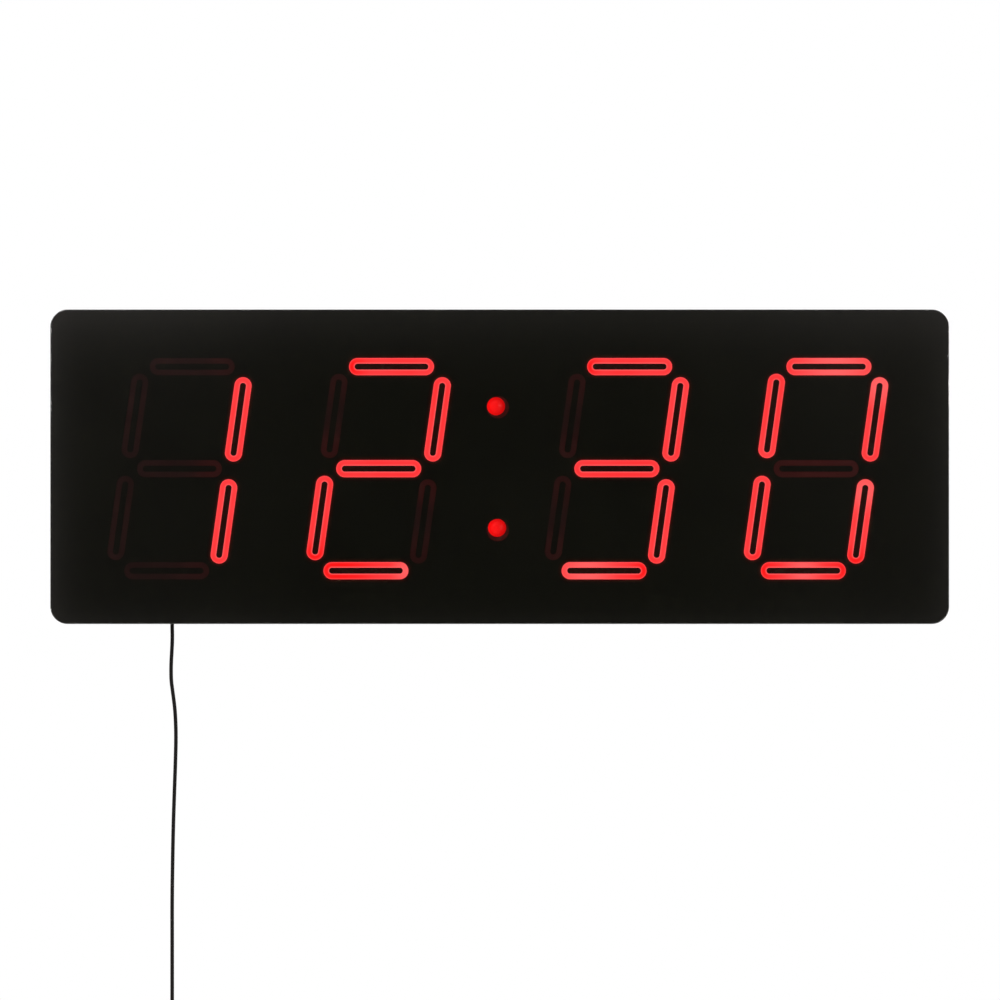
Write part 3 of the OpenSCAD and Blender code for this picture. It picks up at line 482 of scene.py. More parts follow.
def stadium_face(bm, length, width, steps, matrix):
    """A flat face with two straight sides and round ends, in X and Y before it is placed"""
    made = bmesh.ops.create_circle(bm, cap_ends=True, radius=width / 2, segments=steps)
    bmesh.ops.rotate(bm, verts=made["verts"], matrix=Matrix.Rotation(math.pi / steps, 3, "Z"))
    for vert in made["verts"]:
        vert.co.x += math.copysign((length - width) / 2, vert.co.x)
    bmesh.ops.transform(bm, matrix=matrix, verts=made["verts"])
    return made["verts"][0].link_faces[0]


def segment_places():
    """Place of each segment from the middle of its numeral, as letter: (x, z, turn)"""
    glow = settings().glow
    core = glow.length - glow.width
    knee = glow.width + glow.gap
    low, high = (knee * Vector((math.cos(rise), math.sin(rise))) for rise in KNEES)
    lean = Vector((math.sin(glow.slant), math.cos(glow.slant)))
    top = Vector((low.x - high.x, low.y + high.y)) + core * lean
    near = Vector((core / 2 + low.x + glow.upright_out, low.y)) + core / 2 * lean
    far = Vector((glow.upright_out - core / 2 - high.x, high.y)) + core / 2 * lean
    upright = math.pi / 2 - glow.slant
    return {
        "a": (*top, 0.0), "b": (*near, upright), "c": (*-far, upright), "d": (*-top, 0.0),
        "e": (*-near, upright), "f": (*far, upright), "g": (0.0, 0.0, 0.0)}


def on_segment(digit, letter, along):
    """A point on a segment: along is -1 at its left or lower end and 1 at the other"""
    x, z, turn = segment_places()[letter]
    reach = (settings().glow.length - settings().glow.width) / 2 * along
    start = middle(f"digit_{digit}_light_box")
    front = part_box("digit_1_lit_bars")[0].y
    return Vector((start.x + x + reach * math.cos(turn), front, start.z + z + reach * math.sin(turn)))


class CLOCK_OT_cord(Operator):
    """Lay the supply lead from the plug down to its tied coil and on to the adapter"""

    bl_idname = "wall_clock.cord"
    bl_label = "Supply cord"

    # Route below the plug's tail, as sideways and drop in millimetres
    ROUTE = (
        (0, 0), (0, 4), (0.1, 10), (0, 15), (-0.3, 21), (-0.6, 27), (-0.7, 33), (-0.5, 39), (0.1, 44),
        (0.9, 50), (1.7, 57), (2.2, 65), (2.4, 75), (2.1, 90), (1.5, 108), (0.8, 130), (0.3, 155), (0, 180),
        (0, 205), (0, 230), (0, 250), (0, 268))
    # Layers of the coil, and its radius at the middle of its turns in diameters of the lead
    LAYERS = 4
    COIL_RADIUS = 5.5
    # Air between the turns, and the drop from the route to the coil beyond one diameter
    TURN_GAP = 0.5 * MM
    COIL_DROP = 0.6 * MM
    SHEATH = (0.0085, 0.0075, 0.007)

    def coil_points(self, start, cord):
        """Points of the coil, wound outside in and back, climbing a layer where the spiral turns round"""
        pitch = cord.diameter + self.TURN_GAP
        outer = self.COIL_RADIUS * cord.diameter + pitch * cord.turns / 2
        for i in range(int(self.LAYERS * cord.turns * cord.points) + 1):
            turn = i / cord.points
            round_trip = turn % (2 * cord.turns)
            inward = min(round_trip, 2 * cord.turns - round_trip)
            layer = sum(self.eased((turn - k * cord.turns) * 2 + 0.5) for k in range(1, self.LAYERS))
            radius, angle = outer - pitch * inward, -2 * math.pi * turn
            yield start + Vector(
                (radius * math.cos(angle) - outer, -pitch * layer, radius * math.sin(angle)))

    @staticmethod
    def eased(share):
        share = min(1.0, max(0.0, share))
        return share * share * (3 - 2 * share)

    def execute(self, context):
        cord = settings().cord
        grip = middle("plug_grip")
        tail = Vector((grip.x, grip.y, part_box("supply_lead")[1].z))
        points = [tail + Vector((x * MM, 0, -z * MM)) for x, z in self.ROUTE]
        points += self.coil_points(points[-1] - Vector((0, 0, cord.diameter + self.COIL_DROP)), cord)
        low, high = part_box("adapter_lead")
        end = (low + high) / 2
        points += [Vector((end.x, end.y, z)) for z in (high.z, end.z, low.z)]

        data = bpy.data.curves.new("supply_cord", "CURVE")
        data.dimensions = "3D"
        data.bevel_depth = cord.diameter / 2
        data.bevel_resolution = 8
        data.resolution_u = 5
        data.use_fill_caps = True
        spline = data.splines.new("BEZIER")
        spline.bezier_points.add(len(points) - 1)
        for knot, point in zip(spline.bezier_points, points):
            knot.co = point
            knot.handle_left_type = knot.handle_right_type = "AUTO"
        data.materials.append(moulded_plastic(
            "cord sheath", self.SHEATH, scaled(self.SHEATH, 1.5), smooth=0.45, rough=0.6, grain=0.2 * MM,
            depth=0.006 * MM, gloss=0.05))
        piece = add_object("supply_cord", data)
        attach(piece, "supply")
        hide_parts("supply_lead", "lead_coil", "adapter_lead")
        return {"FINISHED"}


class CLOCK_OT_panel(Operator):
    """Make the clear front panel with its rounded corners and polished edges"""

    bl_idname = "wall_clock.panel"
    bl_label = "Front panel"

    EDGE_STEPS = 3

    def execute(self, context):
        panel = settings().panel
        low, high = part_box("front_panel")
        bm = bmesh.new()
        face = outline_face(bm, low, high, panel.corner)
        made = bmesh.ops.extrude_face_region(bm, geom=[face])
        back = [v for v in made["geom"] if isinstance(v, bmesh.types.BMVert)]
        bmesh.ops.translate(bm, verts=back, vec=(0, high.y - low.y - panel.print_gap, 0))
        bmesh.ops.recalc_face_normals(bm, faces=bm.faces)
        shade_curves(bm)
        round_edges(bm, panel.edge, self.EDGE_STEPS)
        finish_piece("panel_glass", bm, self.clear_acrylic(panel), "clock", "front_panel")
        return {"FINISHED"}

    def clear_acrylic(self, panel):
        """Clear acrylic with faint wiping marks, which lets lamp light through"""
        made, tree, shader = new_material("clear acrylic")
        tall = place(
            tree, "Mapping", {"Vector": object_coords(tree), "Scale": (1.0, 1.0, 0.35)}).outputs[0]
        wiped = ramp(tree, spots(tree, 60 * MM, 4.0, tall), 0.4, 0.7)
        feed(tree, shader, {
            "Base Color": mixed(tree, wiped, panel.tint, scaled(panel.tint, 0.96)),
            "Transmission Weight": 1.0, "IOR": 1.49, "Roughness": 0.0})
        output = next(n for n in tree.nodes if n.type == "OUTPUT_MATERIAL")
        glass = output.inputs["Surface"].links[0].from_socket
        shadow = place(tree, "LightPath").outputs["Is Shadow Ray"]
        clear = place(tree, "BsdfTransparent", {"Color": scaled(panel.tint, 0.9)}).outputs[0]
        both = place(tree, "MixShader", {0: shadow, 1: glass, 2: clear}).outputs[0]
        feed(tree, output.inputs, {"Surface": both})
        return made


class CLOCK_OT_printed_layer(Operator):
    """Print the black layer with its ring windows, and the glow that lit windows shed on it"""

    bl_idname = "wall_clock.printed_layer"
    bl_label = "Printed layer"

    ROUND_STEPS = 48
    # Glow on the print in even steps from the outside of the halo in to a lit window's edge
    HALO = (0.0, 0.20, 0.44, 0.70, 1.0)
    # Glow inside the slot of a lit ring, as steps inwards from the slot's edge and the glow there
    SLOT_GLOW = ((0.0, 0.60), (1.2 * MM, 0.34))

    def window(self, bm, glow, length, width, stroke, lit, matrix):
        """A window with its halo round it, and its island if it is a ring; gives the outer edges back"""
        reach = settings().glow.halo
        face = stadium_face(bm, length + 2 * reach, width + 2 * reach, self.ROUND_STEPS, matrix)
        outer = []
        for level in self.HALO[1:]:
            ring = bmesh.ops.inset_individual(
                bm, faces=[face], thickness=reach / (len(self.HALO) - 1), use_even_offset=True)["faces"]
            outer = outer or [e for f in ring for e in f.edges if e.is_boundary]
            for vert in face.verts:
                vert[glow] = level * lit
        if stroke == 0:
            bmesh.ops.delete(bm, geom=[face], context="FACES")
            return outer
        ring = bmesh.ops.inset_individual(bm, faces=[face], thickness=stroke, use_even_offset=True)["faces"]
        bmesh.ops.delete(bm, geom=ring, context="FACES")
        for step, level in self.SLOT_GLOW:
            if step:
                bmesh.ops.inset_individual(bm, faces=[face], thickness=step, use_even_offset=True)
            for vert in face.verts:
                vert[glow] = level * lit
        return outer

    def execute(self, context):
        panel, sizes = settings().panel, settings().glow
        low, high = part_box("printed_mask")
        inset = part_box("front_panel")[1].x - high.x
        bm = bmesh.new()
        glow = bm.verts.layers.float.new("glow")
        plate = outline_face(bm, low, high, panel.corner - inset)
        loops = list(plate.edges)
        bmesh.ops.delete(bm, geom=[plate], context="FACES_ONLY")
        facing = Matrix.Rotation(math.pi / 2, 4, "X")
        for digit in DIGITS:
            start = middle(f"digit_{digit}_light_box")
            for letter, (x, z, turn) in segment_places().items():
                at = Matrix.Translation((start.x + x, low.y, start.z + z))
                matrix = at @ facing @ Matrix.Rotation(turn, 4, "Z")
                lit = float(letter in LIT[digit])
                loops += self.window(bm, glow, sizes.length, sizes.width, sizes.stroke, lit, matrix)
        dots = middle("colon_light_box")
        for side in (-1, 1):
            at = Matrix.Translation((dots.x, low.y, dots.z + side * sizes.dot_spacing / 2))
            loops += self.window(bm, glow, sizes.dot, sizes.dot, 0, 0.0, at @ facing)
        if not bmesh.ops.triangle_fill(bm, use_beauty=True, edges=loops)["geom"]:
            raise RuntimeError("the print round the windows was not filled")
        bmesh.ops.recalc_face_normals(bm, faces=bm.faces)
        if sum(f.normal.y * f.calc_area() for f in bm.faces) > 0:
            bmesh.ops.reverse_faces(bm, faces=bm.faces)
        bmesh.ops.solidify(bm, geom=list(bm.faces), thickness=high.y - low.y)
        finish_piece("print_layer", bm, self.ink(panel, sizes), "clock", "printed_mask")
        return {"FINISHED"}

    def ink(self, panel, sizes):
        """Printed ink that takes a little red light round the lit windows"""
        made, tree, shader = new_material("printed ink")
        blotch = ramp(tree, spots(tree, 50 * MM), 0.35, 0.7)
        near = place(tree, "Attribute", attribute_name="glow").outputs["Fac"]
        feed(tree, shader, {
            "Base Color": mixed(tree, blotch, panel.ink, scaled(panel.ink, 1.12)),
            "Roughness": ramp(tree, spots(tree, 0.4 * MM), 0.3, 0.7, 0.55, 0.7),
            "Emission Color": mixed(tree, near, NO_LIGHT, sizes.leak),
            "Emission Strength": 1.0, "Specular IOR Level": 0.0})
        return made


class CLOCK_OT_numerals(Operator):
    """Light the lenses of the segments that are on, and darken those that are off"""

    bl_idname = "wall_clock.numerals"
    bl_label = "Numerals"

    # Deeper glow of a lit lens far from an LED: numeral, segment, place along it and reach in millimetres
    DEEP = (
        (1, "b", -0.6, 4), (2, "a", -1.15, 14), (2, "d", -0.8, 38), (2, "e", -1.1, 14), (3, "a", -1.2, 12),
        (3, "d", 1.2, 15), (4, "c", -1.2, 14), (4, "d", -1.25, 18), (4, "d", 1.25, 15))
    # Brighter glow close over an LED
    BRIGHT = (
        (2, "d", 1.15, 12), (3, "d", -0.5, 24), (4, "a", 0.2, 34), (4, "b", 1.0, 20), (4, "c", 0.9, 18),
        (4, "d", 0.0, 16))
    # Paler rims of a lit outline: where they start and are full, in from its edges, and how strong they are
    RIM_START = 1.1 * MM
    RIM_FULL = 0.2 * MM
    SLOT_RIM = 0.75
    OUTER_RIM = 0.4
    # Ends of segments lie beside each other within this many segment widths
    BESIDE = 2.3
    # Light that leaks in all over a dark lens, and at an end for each lit segment beside it
    LEAK_ALL_OVER = 0.06
    LEAK_AT_END = 0.2
    # Reach of the light that leaks in at an end, and where lit segments lie at both sides of both ends
    LEAK_REACH = 20 * MM
    SHUT_IN_REACH = 66 * MM

    def execute(self, context):
        glow = settings().glow
        for digit in DIGITS:
            dress(self.lit_lens(digit, glow), f"digit_{digit}_lit_bars")
            dress(self.dark_lens(digit, glow), f"digit_{digit}_dark_bars")
        return {"FINISHED"}

    def spots_at(self, tree, digit, table):
        """The strongest of the spots that a table lists for a numeral"""
        found = 0.0
        for numeral, letter, along, reach in table:
            if numeral == digit:
                spot = use_group(tree, glow_spot, Centre=on_segment(digit, letter, along), Reach=reach * MM)
                found = calc(tree, "MAXIMUM", found, spot["Spot"])
        return found

    def rims(self, tree, digit, glow):
        """Mask of the edges of a numeral's lit outlines"""
        away = 1.0
        for letter in LIT[digit]:
            turn = segment_places()[letter][2]
            away = calc(tree, "MINIMUM", away, use_group(
                tree, bar_distance, Middle=on_segment(digit, letter, 0), Half=(glow.length - glow.width) / 2,
                Along=(math.cos(turn), 0, math.sin(turn)))["Distance"])
        outside = glow.width / 2
        slot = outside - glow.stroke
        return calc(
            tree, "MAXIMUM",
            ramp(tree, away, slot + self.RIM_START, slot + self.RIM_FULL, 0.0, self.SLOT_RIM),
            ramp(tree, away, outside - self.RIM_START, outside - self.RIM_FULL, 0.0, self.OUTER_RIM))

    def lit_lens(self, digit, glow):
        """Diffusing red lens, lit from behind by its LEDs and a little paler along its outline's edges"""
        made, tree, shader = new_material(f"lit lens {digit}")
        cloud = ramp(tree, spots(tree, 24 * MM, 2.0), 0.25, 0.75, 0.65, 1.0)
        lighter = calc(tree, "SUBTRACT", 1.0, self.spots_at(tree, digit, self.DEEP))
        share = calc(tree, "MULTIPLY", cloud, lighter)
        colour = mixed(tree, share, glow.lit_deep, glow.lit_pale)
        colour = mixed(tree, self.spots_at(tree, digit, self.BRIGHT), colour, glow.lit_bright)
        feed(tree, shader, {
            "Emission Color": mixed(tree, self.rims(tree, digit, glow), colour, glow.lit_bright),
            "Base Color": mixed(tree, cloud, (0.2, 0.002, 0.002), (0.25, 0.004, 0.004)),
            "Emission Strength": 1.15, "Specular IOR Level": 0.1, "Roughness": 0.5})
        return made

    def leaks(self, digit, glow):
        """Both ends of each dark segment, with the number of lit segments that end beside each"""
        lit_ends = [on_segment(digit, letter, side) for letter in LIT[digit] for side in (-1, 1)]
        near = self.BESIDE * glow.width
        for letter in "abcdefg":
            if letter not in LIT[digit]:
                ends = [on_segment(digit, letter, side) for side in (-1, 1)]
                yield ends, [sum((end - other).length < near for other in lit_ends) for end in ends]

    def dark_lens(self, digit, glow):
        """Red lens of a segment that is off, with some light leaking in where lit segments end beside it"""
        made, tree, shader = new_material(f"dark lens {digit}")
        cloud = ramp(tree, spots(tree, 12 * MM, 3.0), 0.3, 0.7)
        leak = self.LEAK_ALL_OVER
        for ends, counts in self.leaks(digit, glow):
            reach = self.SHUT_IN_REACH if min(counts) > 1 else self.LEAK_REACH
            for end, count in zip(ends, counts):
                if count:
                    spot = use_group(tree, glow_spot, Centre=end, Reach=reach)["Spot"]
                    leak = calc(tree, "MULTIPLY_ADD", spot, self.LEAK_AT_END * count, leak)
        feed(tree, shader, {
            "Base Color": mixed(tree, cloud, scaled(glow.unlit, 0.85), scaled(glow.unlit, 1.15)),
            "Emission Color": mixed(tree, leak, NO_LIGHT, glow.leak),
            "Emission Strength": 1.0, "Specular IOR Level": 0.05, "Roughness": 0.4})
        return made


class CLOCK_OT_colon(Operator):
    """Light the two colon lamps and the dark red discs behind their windows"""

    bl_idname = "wall_clock.colon"
    bl_label = "Colon"

    # Place of a lamp's bright side from its middle, the reach of its light, and the radius of its dome
    DIE_ASIDE = -4.0 * MM
    DIE_REACH = 14.0 * MM
    DOME_RADIUS = 7.75 * MM

    def execute(self, context):
        glow = settings().glow
        dress(self.lamp_dome(glow), "colon_lamps")
        dress(self.colon_lens(glow), "colon_lenses")
        return {"FINISHED"}

    def lamp_fronts(self):
        """Foremost middle of the lower and the upper lamp"""
        points = [v.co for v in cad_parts["colon_lamps"].data.vertices]
        split = middle("colon_lamps").z
        for upper in (False, True):
            low, high = (
                Vector(end(p[i] for p in points if (p.z > split) == upper) for i in range(3))
                for end in (min, max))
            yield front_middle(low, high)

    def lamp_dome(self, glow):
        """Red lamp, a little dimmer away from its die"""
        made, tree, shader = new_material("lamp dome")
        near, lamps = 0.0, list(self.lamp_fronts())
        for front in lamps:
            die = front + Vector((self.DIE_ASIDE, 0, 0))
            spot = use_group(tree, glow_spot, Centre=die, Reach=self.DIE_REACH)["Spot"]
            near = calc(tree, "MAXIMUM", near, spot)
        cloud = calc(tree, "MULTIPLY", near, ramp(tree, spots(tree, 6 * MM, 2.0), 0.2, 0.5, 0.9, 1.0))
        feed(tree, shader, {
            "Normal": self.dome_normal(tree, *lamps),
            "Emission Color": mixed(tree, cloud, scaled(glow.lamp, 0.45), glow.lamp),
            "Base Color": mixed(tree, cloud, (0.10, 0.002, 0.002), (0.14, 0.003, 0.003)),
            "Emission Strength": 1.08, "Specular IOR Level": 0.1, "Roughness": 0.3})
        return made

    def dome_normal(self, tree, lower, upper):
        """Normal of the polished domes, straight out from the middle of each"""
        coords = object_coords(tree)
        height = place(tree, "SeparateXYZ", {0: coords}).outputs[2]
        above = calc(tree, "GREATER_THAN", height, middle("colon_lamps").z)
        inward = Vector((0, self.DOME_RADIUS, 0))
        centre = place(
            tree, "Mix", {0: above, 4: lower + inward, 5: upper + inward}, data_type="VECTOR").outputs[1]
        return vector(tree, "NORMALIZE", vector(tree, "SUBTRACT", coords, centre))

    def colon_lens(self, glow):
        """Dark red disc that takes some light from its lamp"""
        made, tree, shader = new_material("colon lens")
        cloud = ramp(tree, spots(tree, 5 * MM, 3.0), 0.3, 0.7)
        feed(tree, shader, {
            "Base Color": mixed(tree, cloud, scaled(glow.unlit, 0.9), scaled(glow.unlit, 1.3)),
            "Emission Color": mixed(tree, cloud, scaled(glow.leak, 0.75), scaled(glow.leak, 0.9)),
            "Emission Strength": 1.0, "Specular IOR Level": 0.05, "Roughness": 0.4})
        return made


class CLOCK_OT_housing(Operator):
    """Finish the housing, the rear cover and the foam tape under the panel"""

    bl_idname = "wall_clock.housing"
    bl_label = "Housing and cover"

    def execute(self, context):
        black = settings().housing.black
        shell = moulded_plastic("housing black", black, scaled(black, 1.5), depth=0.05 * MM, gloss=0.28)
        dress(shell, "housing_shell", "rear_cover")
        foam = moulded_plastic(
            "foam tape", (0.03, 0.03, 0.031), (0.05, 0.05, 0.05), smooth=0.8, rough=0.95, grain=0.6 * MM,
            depth=0.1 * MM)
        dress(foam, "bonding_tape")
        return {"FINISHED"}


class CLOCK_OT_fasteners(Operator):
    """Finish the screws"""

    bl_idname = "wall_clock.fasteners"
    bl_label = "Screws"

    def execute(self, context):
        steel = settings().housing.steel
        dress(plated_metal("bright zinc", steel, scaled(steel, 0.8)), "cover_screws", "board_screws")
        return {"FINISHED"}


class CLOCK_OT_inside(Operator):
    """Finish the light boxes, boards and parts inside the housing"""

    bl_idname = "wall_clock.inside"
    bl_label = "Inside"

    def execute(self, context):
        look = settings().housing
        white = moulded_plastic(
            "light box white", look.white, scaled(look.white, 0.93), smooth=0.35, rough=0.5)
        dress(white, "colon_light_box", *(f"digit_{d}_light_box" for d in DIGITS))
        board = self.solder_mask(look)
        dress(board, "colon_board", "control_board", *(f"digit_{d}_board" for d in DIGITS))
        led = moulded_plastic(
            "led chip", (0.80, 0.72, 0.52), (0.9, 0.86, 0.7), smooth=0.2, rough=0.35, grain=1 * MM)
        dress(led, *(f"digit_{d}_leds" for d in DIGITS))
        chip = moulded_plastic(
            "chip black", (0.018, 0.018, 0.018), (0.03, 0.03, 0.03), smooth=0.5, rough=0.65, grain=0.2 * MM)
        dress(chip, "control_chips", "key_switches", "cell_holder", "dc_jack")
        dress(plated_metal("can aluminium", (0.7, 0.71, 0.72), (0.6, 0.6, 0.6)), "capacitors")
        nickel = plated_metal("bright nickel", look.steel, scaled(look.steel, 0.85))
        dress(nickel, "crystal_can", "backup_cell", "jack_pin", "plug_barrel")
        dress(plated_metal("contact brass", (0.72, 0.5, 0.2), (0.55, 0.36, 0.14)), "cell_clip")
        natural = moulded_plastic(
            "natural nylon", (0.72, 0.70, 0.62), (0.78, 0.76, 0.7), smooth=0.4, rough=0.55)
        dress(natural, "link_sockets", "set_plunger", "up_plunger", "down_plunger")
        dress(self.flat_cable(), "link_ribbons")
        return {"FINISHED"}

    def solder_mask(self, look):
        """Solder mask over tracks, with tinned pads"""
        made, tree, shader = new_material("solder mask")
        skin = use_group(
            tree, board_tracks, Mask=look.mask, Track=scaled(look.mask, 1.8),
            Tin=look.steel)
        feed(tree, shader, {
            "Base Color": skin["Colour"],
            "Roughness": skin["Roughness"],
            "Metallic": skin["Pads"],
            "Normal": raised(tree, skin["Height"], 0.03 * MM)})
        return made

    def flat_cable(self):
        """Grey flat cable with its ribs"""
        made, tree, shader = new_material("flat cable")
        ribs = place(
            tree, "TexWave", {"Vector": object_coords(tree), "Scale": 120.0, "Distortion": 0.0},
            bands_direction="Z").outputs["Fac"]
        feed(tree, shader, {
            "Base Color": mixed(tree, ribs, (0.3, 0.31, 0.33), (0.42, 0.43, 0.46)),
            "Normal": raised(tree, ribs, 0.2 * MM),
            "Roughness": 0.5})
        return made


class CLOCK_OT_keys(Operator):
    """Finish the keys and the cell door"""

    bl_idname = "wall_clock.keys"
    bl_label = "Keys and cell door"

    def execute(self, context):
        look = settings().housing
        satin = moulded_plastic(
            "key satin", look.key, scaled(look.key, 1.2), smooth=0.3, rough=0.42, grain=0.2 * MM,
            depth=0.01 * MM, gloss=0.4)
        dress(satin, "set_key", "up_key", "down_key")
        sleek = moulded_plastic(
            "door black", look.black, scaled(look.black, 1.4), smooth=0.32, rough=0.4, grain=0.2 * MM,
            depth=0.01 * MM, gloss=0.35)
        dress(sleek, "cell_door")
        return {"FINISHED"}


class CLOCK_OT_supply(Operator):
    """Finish the plug and the adapter"""

    bl_idname = "wall_clock.supply"
    bl_label = "Plug and adapter"

    # Length of the sleeve on an adapter pin, and half the width of its edge
    SLEEVE = 10 * MM
    SLEEVE_EDGE = 0.05 * MM

    def execute(self, context):
        look = settings().housing
        dull = scaled(look.black, 0.9)
        soft = moulded_plastic(
            "plug moulding", dull, scaled(dull, 1.6), smooth=0.4, rough=0.55, grain=0.2 * MM, depth=0.01 * MM,
            gloss=0.25)
        dress(soft, "plug_grip", "adapter_relief")
        hard = moulded_plastic(
            "adapter black", look.black, scaled(look.black, 1.5), smooth=0.38, rough=0.5, gloss=0.32)
        dress(hard, "adapter_case", "adapter_lid")
        dress(self.woven_tie(look), "lead_tie")
        dress(self.sleeved_pin(look), "adapter_pins")
        return {"FINISHED"}

    def woven_tie(self, look):
        """Hook-and-loop tie with a fine weave"""
        made, tree, shader = new_material("woven tie")
        threads = {"Vector": object_coords(tree), "Scale": 420.0, "Distortion": 0.4, "Detail": 1.0}
        weave = calc(tree, "MAXIMUM", *(
            place(tree, "TexWave", threads, bands_direction=way).outputs["Fac"]
            for way in ("DIAGONAL", "Z")))
        feed(tree, shader, {
            "Base Color": mixed(tree, weave, look.black, scaled(look.black, 2.5)),
            "Normal": raised(tree, weave, 0.15 * MM),
            "Roughness": 0.85, "Sheen Weight": 0.2})
        return made

    def sleeved_pin(self, look):
        """Nickel pin with a black sleeve on the stretch next to the case"""
        made, tree, shader = new_material("sleeved pin")
        skin = use_group(
            tree, drawn_metal, Colour=look.steel, Stained=scaled(look.steel, 0.85),
            Line_size=DRAWN_LINES)
        along = place(tree, "SeparateXYZ", {0: object_coords(tree)}).outputs[0]
        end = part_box("adapter_pins")[1].x - self.SLEEVE
        sleeve = ramp(tree, along, end - self.SLEEVE_EDGE, end + self.SLEEVE_EDGE)
        feed(tree, shader, {
            "Base Color": mixed(tree, sleeve, skin["Colour"], look.black),
            "Metallic": calc(tree, "SUBTRACT", 1.0, sleeve),
            "Roughness": calc(tree, "MULTIPLY_ADD", sleeve, 0.2, skin["Roughness"]),
            "Normal": raised(tree, skin["Height"], 0.004 * MM)})
        return made


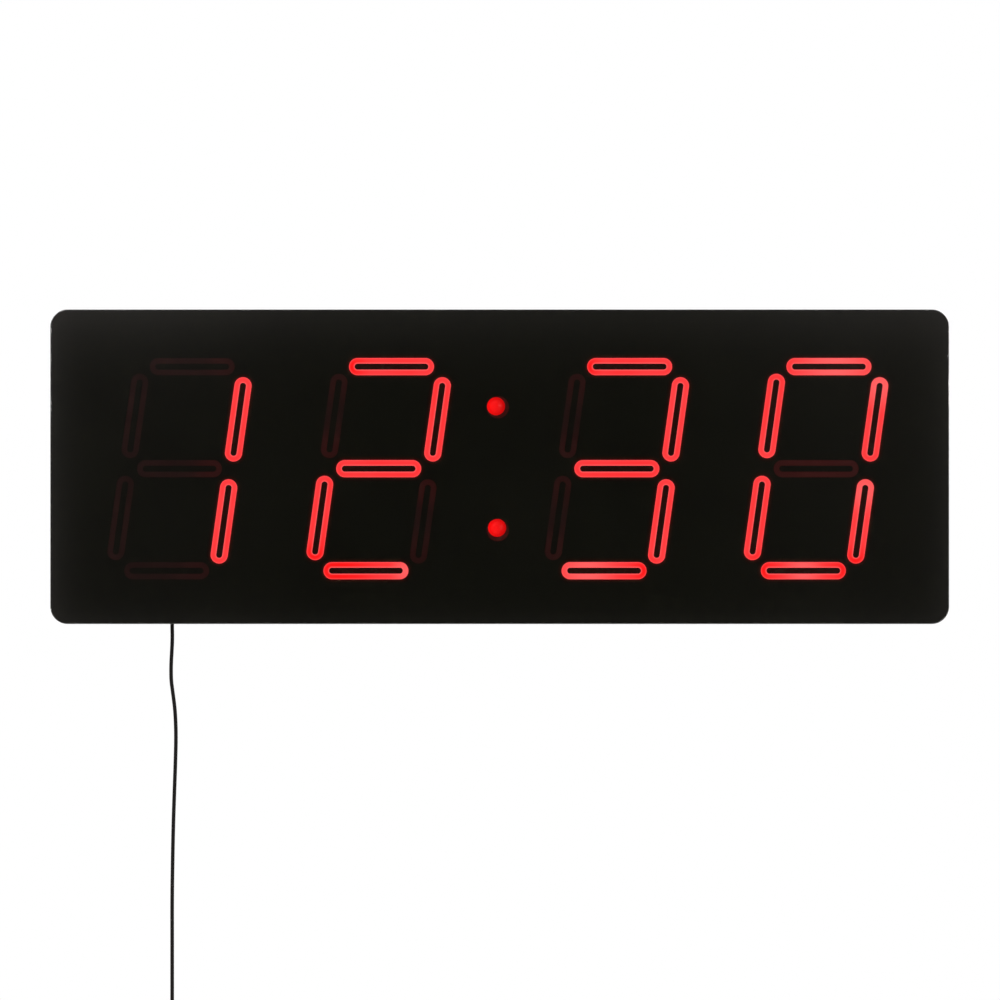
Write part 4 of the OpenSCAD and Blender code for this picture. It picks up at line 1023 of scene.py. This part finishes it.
class CLOCK_OT_stage(Operator):
    """Set the camera, the white surroundings, the pale floor and the lamps"""

    bl_idname = "wall_clock.stage"
    bl_label = "Camera, floor and lamps"

    SENSOR = 36.0
    # Soft lamps: name, place, power in watts and side in metres
    LAMPS = (
        ("key_lamp", (-1.6, -1.9, 1.5), 34, 2.2), ("side_lamp", (1.66, -1.98, 0.28), 18, 0.5),
        ("rear_left_lamp", (-1.5, 1.9, 1.1), 26, 1.4), ("rear_right_lamp", (1.7, 1.8, 0.6), 18, 1.4),
        ("top_lamp", (0.0, 0.0, 2.2), 16, 1.6))
    # The dim studio that the panel mirrors: where it starts and is full, its light and its warm tint
    IN_FRONT = (-0.35, -0.9)
    DIM = 0.015
    WARM = (1, 0.935, 0.925)
    # Light added sideways, and how many times that upwards, as smooth steps: from, to and the two values
    PALER_ASIDE = (0.035, 0.10, 0.0, 0.0185)
    PALER_ABOVE = (-0.005, 0.03, 1.0, 1.8)
    # Glare at the rim of what the panel mirrors: 0 sideways or 1 upwards, limit, power and strength
    GLARE = ((0, -0.1136, 30, 0.16), (0, 0.1136, 30, 0.11), (1, 0.048, 6, 0.13), (1, -0.031, 10, 0.05))
    # How many times the glare above and below, by the distance from the middle and from left to right
    GLARE_ASIDE = (0.03, 0.11, 0.85, 1.38)
    GLARE_ACROSS = (-0.1, 0.1, 1.12, 0.88)

    def execute(self, context):
        stage = settings().stage
        scene = context.scene
        scene.view_settings.view_transform = "Standard"
        low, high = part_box("front_panel")
        centre = (low + high) / 2
        data = bpy.data.cameras.new("photo_camera")
        data.sensor_width = self.SENSOR
        data.lens = self.SENSOR * stage.distance / stage.field
        camera = add_object("photo_camera", data)
        camera.location = (centre.x + stage.aside, low.y - stage.distance, centre.z - stage.drop)
        camera.rotation_euler = (math.pi / 2, 0, 0)
        scene.camera = camera
        self.surroundings(scene, stage)
        self.floor(stage)
        for name, at, power, side in self.LAMPS:
            lamp = bpy.data.lights.new(name, "AREA")
            lamp.energy = power
            lamp.size = side
            holder = add_object(name, lamp)
            holder.location = at
            holder.rotation_euler = (centre - Vector(at)).to_track_quat("-Z", "Y").to_euler()
        return {"FINISHED"}

    @staticmethod
    def grown(tree, value, limit, power, strength):
        """Light that grows towards a limit by a power, and stays even past it"""
        share = place(tree, "MapRange", {"Value": value, "From Max": limit}).outputs["Result"]
        return calc(tree, "MULTIPLY", calc(tree, "POWER", share, power), strength)

    def studio(self, tree, x, z):
        """Light of the dim studio in front, by direction"""
        aside = calc(tree, "ABSOLUTE", x)
        paler = calc(tree, "MULTIPLY", ramp(tree, aside, *self.PALER_ASIDE), ramp(tree, z, *self.PALER_ABOVE))
        light = calc(tree, "ADD", paler, self.DIM)
        for axis, limit, power, strength in self.GLARE:
            glare = self.grown(tree, (x, z)[axis], limit, power, strength)
            if axis == 1:
                glare = calc(tree, "MULTIPLY", glare, ramp(tree, aside, *self.GLARE_ASIDE))
                glare = calc(tree, "MULTIPLY", glare, ramp(tree, x, *self.GLARE_ACROSS))
            light = calc(tree, "ADD", light, glare)
        return light

    def surroundings(self, scene, stage):
        """White to the camera, even light elsewhere, and a dim studio in front for the panel to mirror"""
        scene.world = bpy.data.worlds.new("white studio")
        tree = cleared(scene.world)
        way = place(tree, "TexCoord").outputs["Generated"]
        x, y, z = place(tree, "SeparateXYZ", {0: way}).outputs
        front = ramp(tree, y, *self.IN_FRONT)
        dimmer = calc(tree, "SUBTRACT", self.studio(tree, x, z), 1.0)
        mirrored = calc(tree, "MULTIPLY_ADD", front, dimmer, 1.0)
        path = place(tree, "LightPath").outputs
        sharp = calc(tree, "MAXIMUM", path["Is Glossy Ray"], path["Is Transmission Ray"])
        change = calc(tree, "SUBTRACT", mirrored, stage.ambient)
        even = calc(tree, "MULTIPLY_ADD", sharp, change, stage.ambient)
        level = calc(tree, "MULTIPLY_ADD", path["Is Camera Ray"], calc(tree, "SUBTRACT", 1.0, even), even)
        tint = mixed(tree, calc(tree, "MULTIPLY", sharp, front), WHITE, self.WARM)
        light = place(tree, "Background", {"Color": tint, "Strength": level})
        place(tree, "OutputWorld", {"Surface": light.outputs[0]})

    def floor(self, stage):
        """Pale round floor just below the adapter, which keeps the shadow and fades into the white"""
        bm = bmesh.new()
        bmesh.ops.create_circle(
            bm, cap_ends=True, radius=stage.floor, segments=96,
            matrix=Matrix.Translation((0, 0, CAD_LOW.z - stage.floor_drop)))
        mesh = bpy.data.meshes.new("floor")
        bm.to_mesh(mesh)
        bm.free()
        add_object("floor", mesh)
        made = bpy.data.materials.new("pale floor")
        tree = cleared(made)
        away = vector(tree, "LENGTH", object_coords(tree))
        fade = ramp(tree, away, 0.5 * stage.floor, 0.95 * stage.floor, 0.4, 1.0)
        path = place(tree, "LightPath").outputs
        sharp = calc(tree, "MAXIMUM", path["Is Glossy Ray"], path["Is Transmission Ray"])
        seen = calc(tree, "MAXIMUM", path["Is Camera Ray"], sharp)
        white = place(tree, "Emission", {"Color": WHITE, "Strength": 1.0}).outputs[0]
        matt = place(tree, "BsdfDiffuse", {"Color": (0.92, 0.92, 0.92)}).outputs[0]
        both = place(tree, "MixShader", {0: calc(tree, "MULTIPLY", fade, seen), 1: matt, 2: white})
        place(tree, "OutputMaterial", {"Surface": both.outputs[0]})
        mesh.materials.append(made)


class CLOCK_PT_sidebar(Panel):
    """Lists the clock's operators and settings"""

    bl_idname = "CLOCK_PT_sidebar"
    bl_label = "Wall clock"
    bl_space_type = "VIEW_3D"
    bl_region_type = "UI"
    bl_category = "Wall Clock"

    def draw(self, context):
        for step in STEPS:
            self.layout.operator(step.bl_idname)
        for name in ClockSettings.__annotations__:
            box = self.layout.box()
            box.label(text=name.capitalize())
            part = getattr(context.scene.wall_clock, name)
            for field in part.__annotations__:
                box.prop(part, field)


STEPS = (
    CLOCK_OT_stage, CLOCK_OT_cord, CLOCK_OT_panel, CLOCK_OT_printed_layer, CLOCK_OT_numerals, CLOCK_OT_colon,
    CLOCK_OT_housing, CLOCK_OT_fasteners, CLOCK_OT_inside, CLOCK_OT_keys, CLOCK_OT_supply)
CLASSES = (
    ClockPanelSettings, ClockGlowSettings, ClockHousingSettings, ClockCordSettings, ClockStageSettings,
    ClockSettings, *STEPS, CLOCK_PT_sidebar)


def register():
    for one in CLASSES:
        bpy.utils.register_class(one)
    bpy.types.Scene.wall_clock = PointerProperty(type=ClockSettings)


def unregister():
    del bpy.types.Scene.wall_clock
    for one in reversed(CLASSES):
        bpy.utils.unregister_class(one)


def main():
    register()
    for step in STEPS:
        category, name = step.bl_idname.split(".")
        getattr(getattr(bpy.ops, category), name)()


if __name__ == "__main__":
    main()
